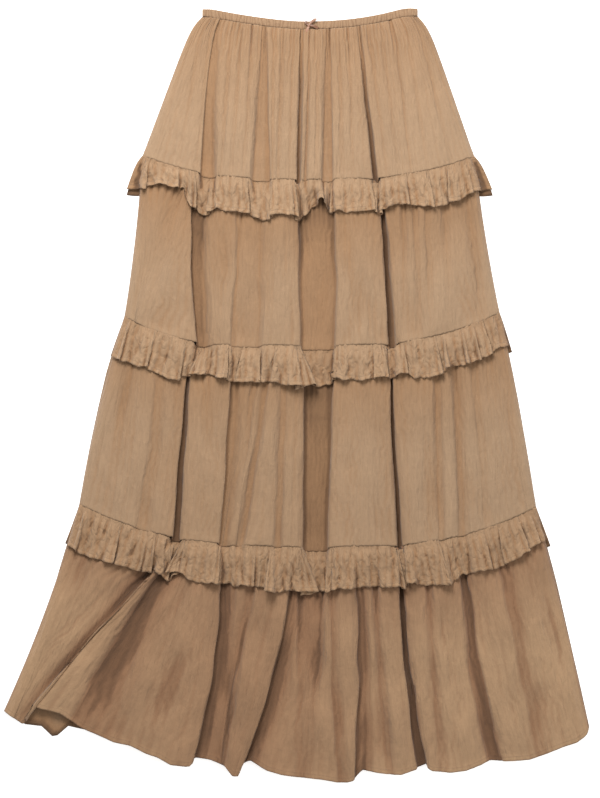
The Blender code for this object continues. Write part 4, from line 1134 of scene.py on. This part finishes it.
# %% Pleats of the ruffles
PLEAT = "x over"
PLEATS = (
    table(
        PLEAT,
        (-187, 3), (-150, 1.5), (-129, 4), (-110, -5), (-62, 4), (-31, -5), (-2, 5), (44, -4),
        (96, 4), (106, -4), (140, 2), (168, 6), (193, -5), (216, 2),
    ),
    table(
        PLEAT,
        (-212, 2.5), (-180, 2), (-140, 3), (-122, -11), (-86, 5), (-69, -5), (-45, 4), (-27, -3),
        (4, 27), (50, -6), (98, -2), (112, 5), (137, 4), (178, 5), (187, -3), (211, -2), (227, 3),
        (239, 5),
    ),
    table(
        PLEAT,
        (-268, 2), (-224, 4), (-190, 2), (-179, 4), (-157, 3), (-146, -17), (-98, 5), (-52, 2),
        (-33, -7), (8, 23), (38, -3), (47, -5), (130, 6), (138, -4), (182, 9), (240, 1.5),
        (257, -4), (283, 6), (299, 2),
    ),
)
RUFFLE_STEP = 1.45
PLEAT_ROOM = 3.0  # half the seam that a pleat is gathered into
WIDE_ROOM = 0.3  # the same for a wide pleat, as a share of how far it goes over
PLEAT_GAP = 0.5
FOLD_GAP = 0.1
UNDER_SHARE = 0.15  # how far a pleat's under layer starts on the other side of its place
LAYER = 1.5  # how far apart a pleat's layers lie
FLAP_RISE = 1.3  # how much further a pleat's free edge stands off, for each layer
PLEAT_FADE = 16.0  # how soon a panel comes back down from lying on its neighbour
TURN = 0.6  # how far the cloth goes back on itself in a pleat's folded edge


def lay_pleats(seam, pleats):
    """A ruffle's cloth from left to right: x in the seam and at the free edge, layer, and length."""
    corners = [(seam.left, seam.left, 0.0)]
    from_left, from_right = [], []
    for pleat in pleats:
        room = max(PLEAT_ROOM, WIDE_ROOM * abs(pleat.over))
        start, end = max(pleat.x - room, corners[-1][0] + PLEAT_GAP), pleat.x + room
        edge = pleat.x + pleat.over
        turn = pleat.x - UNDER_SHARE * pleat.over
        side = math.copysign(TURN, pleat.over)
        third = (end - start) / 3.0
        first, second = start + third, end - third
        if pleat.over > 0:
            over_turn = mix(start, first, max(turn - start, 0.0) / (edge - start))
            from_right.append(len(corners) + 1)
            corners += [(start, start, 0.0), (over_turn, max(turn, start), 2.0), (first, edge, 2.0)]
            corners += [(first + FOLD_GAP, edge - side, 1.0), (second - FOLD_GAP, turn + side, 1.0)]
            corners += [(second, turn, 0.0), (end, end, 0.0)]
        else:
            over_turn = mix(end, second, max(end - turn, 0.0) / (end - edge))
            corners += [(start, start, 0.0), (first, turn, 0.0), (first + FOLD_GAP, turn + side, 1.0)]
            corners += [(second - FOLD_GAP, edge - side, 1.0), (second, edge, 2.0)]
            from_left.append(len(corners))
            corners += [(over_turn, min(turn, end), 2.0), (end, end, 0.0)]
    corners.append((seam.right, seam.right, 0.0))
    corners = np.array(corners)
    lengths = np.maximum(np.abs(np.diff(corners[:, 1])), np.diff(corners[:, 0]))
    along = np.insert(np.cumsum(lengths), 0, 0.0)
    cloth = np.linspace(0.0, along[-1], int(along[-1] / RUFFLE_STEP) + 1)
    in_seam, at_edge, layer = (np.interp(cloth, along, corners[:, k]) for k in range(3))
    turns = [(corner, -1.0) for corner in from_right] + [(corner, 1.0) for corner in from_left]
    for corner, side in turns:  # a panel slopes up to the pleat where it starts to lie on another
        away = side * (cloth - along[corner])
        slope = 2.0 - 2.0 * away / PLEAT_FADE
        layer = np.where(away > 0.0, np.maximum(layer, slope), layer)
    for _ in range(2):
        for values in (in_seam, at_edge):
            values[1:-1] = 0.25 * values[:-2] + 0.5 * values[1:-1] + 0.25 * values[2:]
    return in_seam, at_edge, layer, along[-1]


# %% What a ruffle lies on
BED_STEP = 1.0
BED_BRIDGE = 5  # half the width of the widest slit that a ruffle lies across, in steps of its map
BRIDGED_SHARE = 0.8
BESIDE_SKIRT = 1.6  # the height where a ray meets no cloth
RAYS_FROM = 0.2  # in metres
INSIDE_LAST = 1.001  # keeps a place inside the last step of the map


def neighbours(heights, reach, pick):
    """For each place, the highest or lowest (`pick`) of the heights `reach` steps to either side."""
    padded = np.pad(heights, ((0, 0), (reach, reach)), mode="edge")
    width = heights.shape[1]
    return pick([padded[:, k : k + width] for k in range(2 * reach + 1)], axis=0)


def relief_map(cloth, box):
    """A function that gives the height that cloth lies at on another, at any x and y, in mm."""
    left, right, low, high = box
    xs = np.arange(left, right + BED_STEP, BED_STEP)
    ys = np.arange(low, high + BED_STEP, BED_STEP)
    heights = np.full((len(ys), len(xs)), BESIDE_SKIRT)
    straight_down = Vector((0.0, 0.0, -1.0))
    for i, y in enumerate(ys):
        for j, x in enumerate(xs):
            hit, place, _, _ = cloth.ray_cast(Vector((MM * x, MM * y, RAYS_FROM)), straight_down)
            if hit:
                heights[i, j] = place.z / MM
    bridged = neighbours(neighbours(heights, BED_BRIDGE, np.max), BED_BRIDGE, np.min)
    heights = np.maximum(heights, mix(heights, bridged, BRIDGED_SHARE))

    def height(x, y):
        across = np.clip((x - left) / BED_STEP, 0.0, len(xs) - INSIDE_LAST)
        along = np.clip((y - low) / BED_STEP, 0.0, len(ys) - INSIDE_LAST)
        j, i = across.astype(int), along.astype(int)
        share_x, share_y = across - j, along - i
        upper = mix(heights[i + 1, j], heights[i + 1, j + 1], share_x)
        return mix(mix(heights[i, j], heights[i, j + 1], share_x), upper, share_y)

    return height


# %% Shape of a ruffle
TIP_POWER = 22
SPREAD_POWER = 0.6
FULL_RISE = 13.0


def flute_shape(ruffle, end, x):
    """The free edge at x: its reach below the seam, and how high it stands off the tier."""
    grooves = np.array([flute.groove for flute in ruffle.flutes] + [end])
    reaches = np.array([flute.groove_reach for flute in ruffle.flutes] + [LAST_GROOVE_REACH])
    crests = np.array([flute.crest_reach for flute in ruffle.flutes])
    rises = np.array([flute.crest_rise for flute in ruffle.flutes]) ** 2 / FULL_RISE
    which = np.clip(np.searchsorted(grooves, x, side="right") - 1, 0, len(crests) - 1)
    share = np.clip((x - grooves[which]) / (grooves[which + 1] - grooves[which]), 0.0, 1.0)
    swell = np.sin(math.pi * share) ** 2
    reach = mix(mix(reaches[which], reaches[which + 1], ramp(share)), crests[which], swell)
    return reach, rises[which] * swell


def ruffle_x(number, across, down, out):
    """x of a ruffle's points. across: -1 at its left end, 1 at its right. out: 1 at its free edge."""
    ruffle = RUFFLES[number - 1]
    left, right = side_x(number, down)
    tip = np.where(across < 0.0, -ruffle.spread_left, ruffle.spread_right)
    return mix(left, right, 0.5 + 0.5 * across) + tip * np.abs(across) ** TIP_POWER * out**SPREAD_POWER


# %% Ruffle fronts
RUFFLE_ROWS = 27
RUFFLE_CLEAR = 1.1
RUFFLE_STIFFNESS = Stiffness(0.9, 0.2, 0.04, 0.02, 0.3, 0.03, 4)
RUFFLE_ROUNDS = 160
RUFFLE_CREASE = Crease(90, (1.0, 2.2), (8.0, 30.0), (0.8, 2.2), 0.8, (0.0, 0.8))
RUFFLE_CREASE_SEED = 80
RUFFLE_WRINKLES = (Ripple(70, 0.9, 24.0, 26.0), Ripple(77, 0.6, 12.0, 9.0))
RUFFLE_ROUGH_SEED = 500
RUFFLE_ROUGH = 0.12
BUSY = Ripple(75, 1.3, 75.0, 400.0)  # some stretches of a ruffle are more crumpled than others
BUSY_SHARE = 0.45  # how crumpled it is on average
LEAST_BUSY = 0.15
RUFFLE_GATHER = Ripple(60, 1.0, 5.5, 1.0)
RUFFLE_GATHER_HIGH = 0.6
RUFFLE_GATHER_LONG = 9.0
MAP_MARGIN = 3.0
OVER_AT_SEAM = 0.1  # how much of a pleat's way over it has already gone in the seam
LAYER_OUT = 2.5
FLAP_HELD = 0.42  # how far a flap is held up by the fold that it comes from, for each layer
FLUTE_POWER = 1.3
BELLY = 1.2  # how far a ruffle stands off between its seam and its free edge
BELLY_OUT = 1.6
SEAM_LONG = 12.0  # how far below the seam a ruffle's own height starts
SEAM_UNDER = 1.0  # how far a ruffle's edge runs under the edge of the tier above it
SEAM_SINK = 0.45
SEAM_PUFF = 0.7  # how far the ruffle's gathers stand up just below the seam
SEAM_PUFF_LONG = 4.0
HEM_CURL = Ripple(85, 3.4, 31.0, 90.0)  # waves of a ruffle's hem that stand off the tier
HEM_WANDER = Ripple(88, 1.2, 21.0, 1.0)
HEM_FROM = 0.55  # the part of the way out where the hem's waves start
HEM_PART = 0.45
EDGE_FULLNESS = 1.02
STRIP_FULLNESS = 1.03  # how much longer the strip is cut than it is laid
STRIP_FULL_OUT = 1.3
RUFFLE_HEM_WIDE = 5.0
# painted shade that each ruffle gets everywhere
RUFFLE_SHADES = (0.15, 0.15, 0.3)
RUFFLE_SHADE = 0.6  # painted shade of a ruffle at LOW_Z. It has none LIGHT_CLIMB above that
LOW_Z = 5.0
LIGHT_CLIMB = 18.0
# painted shade in a ruffle's creases
RUFFLE_CREASE_SHADE = 0.9


def crumple(number, start, out, from_seam):
    """Moves a ruffle's points off the shape as laid: gathers, wrinkles and a wavy hem."""
    cloth_x = np.broadcast_to(RUFFLE_STEP * np.arange(start.shape[1]), out.shape)
    z = start[..., 2]
    busy = ramp(BUSY_SHARE + ripples(BUSY, number, cloth_x, from_seam))
    rng = np.random.default_rng(RUFFLE_ROUGH_SEED + number)
    z[:-1] += rng.normal(0.0, RUFFLE_ROUGH, z[:-1].shape)
    for wrinkle in RUFFLE_WRINKLES:
        z[:-2] += ripples(wrinkle, number, cloth_x, from_seam)[:-2]
    sharp = creases(RUFFLE_CREASE_SEED + number, RUFFLE_CREASE, cloth_x, from_seam)
    z[:-2] += (sharp * busy)[:-2]
    gather = ripples(RUFFLE_GATHER, number, cloth_x, 0.0 * cloth_x)
    gather = gather * (1.0 - ramp(from_seam / RUFFLE_GATHER_LONG))
    z += RUFFLE_GATHER_HIGH * gather * mix(LEAST_BUSY, 1.0, busy)
    near_hem = ramp((out - HEM_FROM) / HEM_PART)
    z += np.maximum(ripples(HEM_CURL, number, cloth_x, from_seam), 0.0) * near_hem
    start[..., 1] += ripples(HEM_WANDER, number, cloth_x, 0.0 * cloth_x) * near_hem
    start[-1, :, 1] += SEAM_UNDER
    z[-1] -= SEAM_SINK


def ruffle_points(number, below):
    """The points of one ruffle's front, laid on the tier `below`, and the painted shade of each place."""
    ruffle, seam = RUFFLES[number - 1], SEAMS[number]
    seam_x, edge_x, layer, cloth_length = lay_pleats(seam, PLEATS[number - 1])
    print(ruffle.name, "cloth in its front:", round(cloth_length), "mm")
    reach, rise = flute_shape(ruffle, seam.right, seam_x)
    out = np.linspace(1.0, 0.0, RUFFLE_ROWS)[:, None] * np.ones_like(seam_x)
    from_seam = out * reach
    down = from_seam / (seam.low - SEAMS[number + 1].low)
    across = (2.0 * seam_x - seam.left - seam.right) / (seam.right - seam.left)
    own_x = ruffle_x(number, across, down, out)
    x = own_x + (edge_x - seam_x) * mix(OVER_AT_SEAM, 1.0, out)
    y = seam_y(number, seam_x) - from_seam
    low, high = y.min() - 2.0 * MAP_MARGIN, y.max() + MAP_MARGIN
    bed = relief_map(below, (x.min() - MAP_MARGIN, x.max() + MAP_MARGIN, low, high))
    held = FLAP_HELD * layer * bed(own_x, y)
    stacked = LAYER * layer * ramp(LAYER_OUT * out)
    lift = rise * out**FLUTE_POWER + BELLY * arch(np.clip(BELLY_OUT * out, 0.0, 1.0))
    lift = lift + FLAP_RISE * layer * out**2 + SEAM_PUFF * ramp(from_seam / SEAM_PUFF_LONG)
    z = np.maximum(bed(x, y), held) + RUFFLE_CLEAR + lift + stacked
    seam_z = own_height(number - 1, seam_x, np.ones_like(seam_x)) - SEAM_ROLL
    z = mix(np.broadcast_to(seam_z, z.shape), z, ramp(from_seam / SEAM_LONG))
    start = np.stack([x, y, z], axis=-1)
    crumple(number, start, out, from_seam)
    free = np.ones_like(x)
    free[-1] = 0.0
    laid_step = mix(1.0, EDGE_FULLNESS, out[:, 1:]) * np.linalg.norm(np.diff(start, axis=1), axis=2)
    strip_step = STRIP_FULLNESS * RUFFLE_STEP * ramp(STRIP_FULL_OUT * out[:, 1:])
    row_step = STRIP_FULLNESS * reach / (RUFFLE_ROWS - 1)
    least = RUFFLE_CLEAR + stacked
    points = settle(
        start,
        np.maximum(laid_step, strip_step),
        np.broadcast_to(row_step, (RUFFLE_ROWS - 1, len(seam_x))),
        free,
        lambda px, py: np.maximum(bed(px, py), held) + least,
        RUFFLE_STIFFNESS,
        RUFFLE_ROUNDS,
    )
    points[..., 2] += HEM_THICK * ((1.0 - out) * reach < RUFFLE_HEM_WIDE)
    # painted shade: more on lower cloth, and more in creases
    hollow = RUFFLE_SHADE * np.clip(1.0 - (points[..., 2] - LOW_Z) / LIGHT_CLIMB, 0.0, 1.0)
    hollow = np.maximum(hollow, RUFFLE_SHADES[number - 1])
    return points, darken(hollow, RUFFLE_CREASE_SHADE * cavities(points[..., 2]))


for number in range(1, len(TIERS)):
    points, hollow = ruffle_points(number, fronts[number])
    name = RUFFLES[number - 1].name
    ruffle = add_sheet(name + "_front_cloth", points, ruffle_cloth, hollow)
    declare(ruffle, name + "_front")

# %% Ruffle backs
BACK_RUFFLE_REACH = 46.0
BACK_RUFFLE_WAVES = 13
BACK_RUFFLE_DOWN = 0.22
BACK_RUFFLE_ROWS = 12
BACK_RUFFLE_COLUMNS = 160
BACK_RUFFLE_SHADE_WIDE = 60.0
BACK_WAVE_DEPTH = 3.0


def back_ruffle_points(number):
    """The same ruffle behind: it lies on the floor, under the tier that it covers."""
    out = np.linspace(1.0, 0.0, BACK_RUFFLE_ROWS)[:, None] * np.ones(BACK_RUFFLE_COLUMNS)
    share = np.linspace(0.0, 1.0, BACK_RUFFLE_COLUMNS)
    x = ruffle_x(number, 2.0 * share - 1.0, BACK_RUFFLE_DOWN * out, out)
    wave = BACK_WAVE_DEPTH * np.cos(math.tau * BACK_RUFFLE_WAVES * share)
    y = smile(SEAMS[number], x[-1]) - (BACK_RUFFLE_REACH + wave) * out
    return np.stack([x, y, np.full_like(x, BACK_Z)], axis=-1)


for number in range(1, len(TIERS)):
    points = back_ruffle_points(number)
    name = RUFFLES[number - 1].name
    shaded = under_shade(points, BACK_RUFFLE_SHADE_WIDE)
    ruffle = add_sheet(name + "_back_cloth", points, gauze_cloth, shaded)
    declare(ruffle, name + "_back")

# %% [markdown]
# ## Waistband and bow
#
# The band is a casing of the same gauze, shirred over elastic, so its surface stands in close ribs. It
# is a ring pressed flat. The bow is tied from narrow satin ribbon: two loops, two tails and a knot.

# %% Waistband
BAND_HEIGHT = 10.5
BAND_END_DROP = 0.9
BAND_END_WIDE = 14.0
BAND_CLOTH = 0.9
BAND_FRONT_Z = 5.2
BAND_BACK_Z = 0.15
RIB_MM = 4.3
RIB_DEPTH = 0.6
RIB_UNEVEN = Ripple(90, 0.25, 2.6, 9.0)
RIB_WANDER = ((0.22, 0.21), (0.15, 0.67))  # how far ribs wander, in their own widths, and how fast
RIB_LEAN = 0.5
LEAN_FAST = 0.11
RIB_AT_EDGES = 0.45  # how much of the ribs is left at the band's edges
RIB_MIDDLE = 0.4
VALLEY_SHARP = 1.6
BAND_ROWS = 13
BAND_STEP = 0.72
BAND_EDGE_FALL = 0.5
BAND_EDGE_WAVE = 0.35
BAND_SHADE = 0.6
ON_FRONT = 0.9


def waistband_points():
    """The ring from its low edge up: along the front to the right, then back along its underside."""
    seam = SEAMS[0]
    bend = 0.5 * (BAND_FRONT_Z - BAND_BACK_Z)
    left, right = seam.left + bend, seam.right - bend
    front_x = np.arange(left, right, BAND_STEP)
    back_x = np.linspace(right, left, len(front_x) // 3)
    turn = np.linspace(0.0, math.pi, 9)[1:-1]
    x = np.concatenate([front_x, right + bend * np.sin(turn), back_x, left - bend * np.sin(turn)])
    side = np.concatenate([np.ones_like(front_x), np.cos(turn), -np.ones_like(back_x), -np.cos(turn)])
    x, side = np.append(x, x[0]), np.append(side, side[0])
    (far, fast), (near, faster) = RIB_WANDER
    across = x + far * RIB_MM * np.sin(fast * x) + near * RIB_MM * np.sin(faster * x)
    share = np.linspace(0.0, 1.0, BAND_ROWS)[:, None] * np.ones_like(x)
    lean = RIB_LEAN * np.sin(LEAN_FAST * x) * share
    rib = np.abs(np.sin(math.pi * (across / RIB_MM + lean)))
    rib = rib + ripples(RIB_UNEVEN, 0, np.broadcast_to(x, share.shape), 10.0 * share)
    rib = rib * mix(RIB_AT_EDGES, 1.0, arch(share)) * np.maximum(side, 0.0)
    fall = BAND_EDGE_FALL * (2.0 * share - 1.0) ** 4
    middle = 0.5 * (BAND_FRONT_Z + BAND_BACK_Z)
    z = middle + (bend - fall) * side + RIB_DEPTH * (rib - RIB_MIDDLE) * (side > ON_FRONT)
    from_end = np.minimum(x - seam.left, seam.right - x)
    tall = BAND_HEIGHT - BAND_END_DROP * ramp(1.0 - from_end / BAND_END_WIDE)
    y = smile(seam, x) + share * tall + BAND_EDGE_WAVE * (rib - 0.5) * (2.0 * share - 1.0)
    # painted shade in the valleys between the ribs, on the front only
    valley = np.clip(1.0 - VALLEY_SHARP * rib, 0.0, 1.0) * (side > ON_FRONT)
    return np.stack([np.broadcast_to(x, z.shape), y, z], axis=-1), BAND_SHADE * valley


points, hollow = waistband_points()
waistband = add_sheet("waistband_casing", points, casing_cloth, hollow, BAND_CLOTH, hemmed=False)

# %% Bow
# the last column is how much painted shade each arm gets
BOW_ARMS = table(
    "name reach_x reach_y folded climb turned",
    ("loop_left", -4.6, 5.4, True, 1.6, 0.9),
    ("loop_right", 9.2, 8.4, True, 1.8, 0.35),
    ("tail_left", -5.2, -8.8, False, -0.6, 0.0),
    ("tail_right", 11.6, -3.6, False, -0.6, 0.8),
)
BOW_CENTRE = (16.0, 473.0, 7.6)
RIBBON_WIDTH = 3.7
RIBBON_THICK = 0.35
RIBBON_PINCH = 0.45
RIBBON_COLUMNS = 9
RIBBON_LIFT = 0.3
RIBBON_SWAY = 0.09
RIBBON_CUP = 0.5
ARM_STEPS = 16
LOOP_ROUND = 1.4
LOOP_OPEN = 0.5
TAIL_ARCH = 0.7
TAIL_SLANT = 0.12  # the tails are cut at a slant
SLANT_POWER = 8
KNOT_SIZE = (4.4, 3.6, 2.8)
KNOT_RISE = 0.9
KNOT_RIDGE = 0.09
KNOT_CREASES = (2.0, 9.0)  # how close its creases lie, across and along


def ribbon_points(arm):
    """One arm of the bow. A loop runs out and comes back above itself, a tail only runs out."""
    share = np.linspace(0.0, 1.0, 2 * ARM_STEPS if arm.folded else ARM_STEPS)
    if arm.folded:
        run = 1.0 - np.abs(2.0 * share - 1.0) ** LOOP_ROUND
        rise = LOOP_OPEN * np.sin(math.tau * share)
    else:
        run = share
        rise = TAIL_ARCH * np.sin(math.pi * share)
    rise = RIBBON_LIFT + arm.climb * share + rise
    direction = np.array([arm.reach_x, arm.reach_y])
    side = np.array([-direction[1], direction[0]]) / np.linalg.norm(direction)
    sway = RIBBON_SWAY * np.linalg.norm(direction) * np.sin(math.pi * run)
    across = np.linspace(-0.5, 0.5, RIBBON_COLUMNS)
    width = RIBBON_WIDTH * (1.0 - RIBBON_PINCH * (1.0 - run) ** 2)
    slant = 0.0 if arm.folded else TAIL_SLANT
    points = np.zeros((len(share), RIBBON_COLUMNS, 3))
    reach = run[:, None] + slant * across * run[:, None] ** SLANT_POWER
    for axis in (0, 1):
        line = BOW_CENTRE[axis] + direction[axis] * reach
        points[..., axis] = line + side[axis] * (width[:, None] * across + sway[:, None])
    cupped = RIBBON_CUP * (1.0 - run[:, None]) * np.cos(math.pi * across)
    points[..., 2] = BOW_CENTRE[2] + rise[:, None] + cupped
    return points


bow_pieces = []
for arm in BOW_ARMS:
    points = ribbon_points(arm)
    # painted shade of the arm, all over it
    turned = np.full(points.shape[:2], arm.turned)
    bow_pieces.append(add_sheet(arm.name, points, satin_ribbon, turned, RIBBON_THICK, hemmed=False))
bpy.ops.object.select_all(action="DESELECT")
bpy.ops.mesh.primitive_uv_sphere_add(segments=28, ring_count=18, radius=0.5, location=(0.0, 0.0, 0.0))
knot = bpy.context.object
for point in knot.data.vertices:
    turn = KNOT_CREASES[1] * point.co.y + KNOT_CREASES[0] * point.co.x
    ridge = 1.0 + KNOT_RIDGE * math.cos(turn)
    for axis in range(3):
        place = BOW_CENTRE[axis] + (KNOT_RISE if axis == 2 else 0.0)
        point.co[axis] = MM * (place + KNOT_SIZE[axis] * ridge * point.co[axis])
knot.data.materials.append(satin_ribbon)
bpy.ops.object.shade_smooth()
for piece in bow_pieces:
    piece.select_set(True)
bpy.ops.object.join()
bow = bpy.context.object
bow.name = "satin_bow"
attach(bow, "root")
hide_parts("bow")
declare(waistband, "waistband")
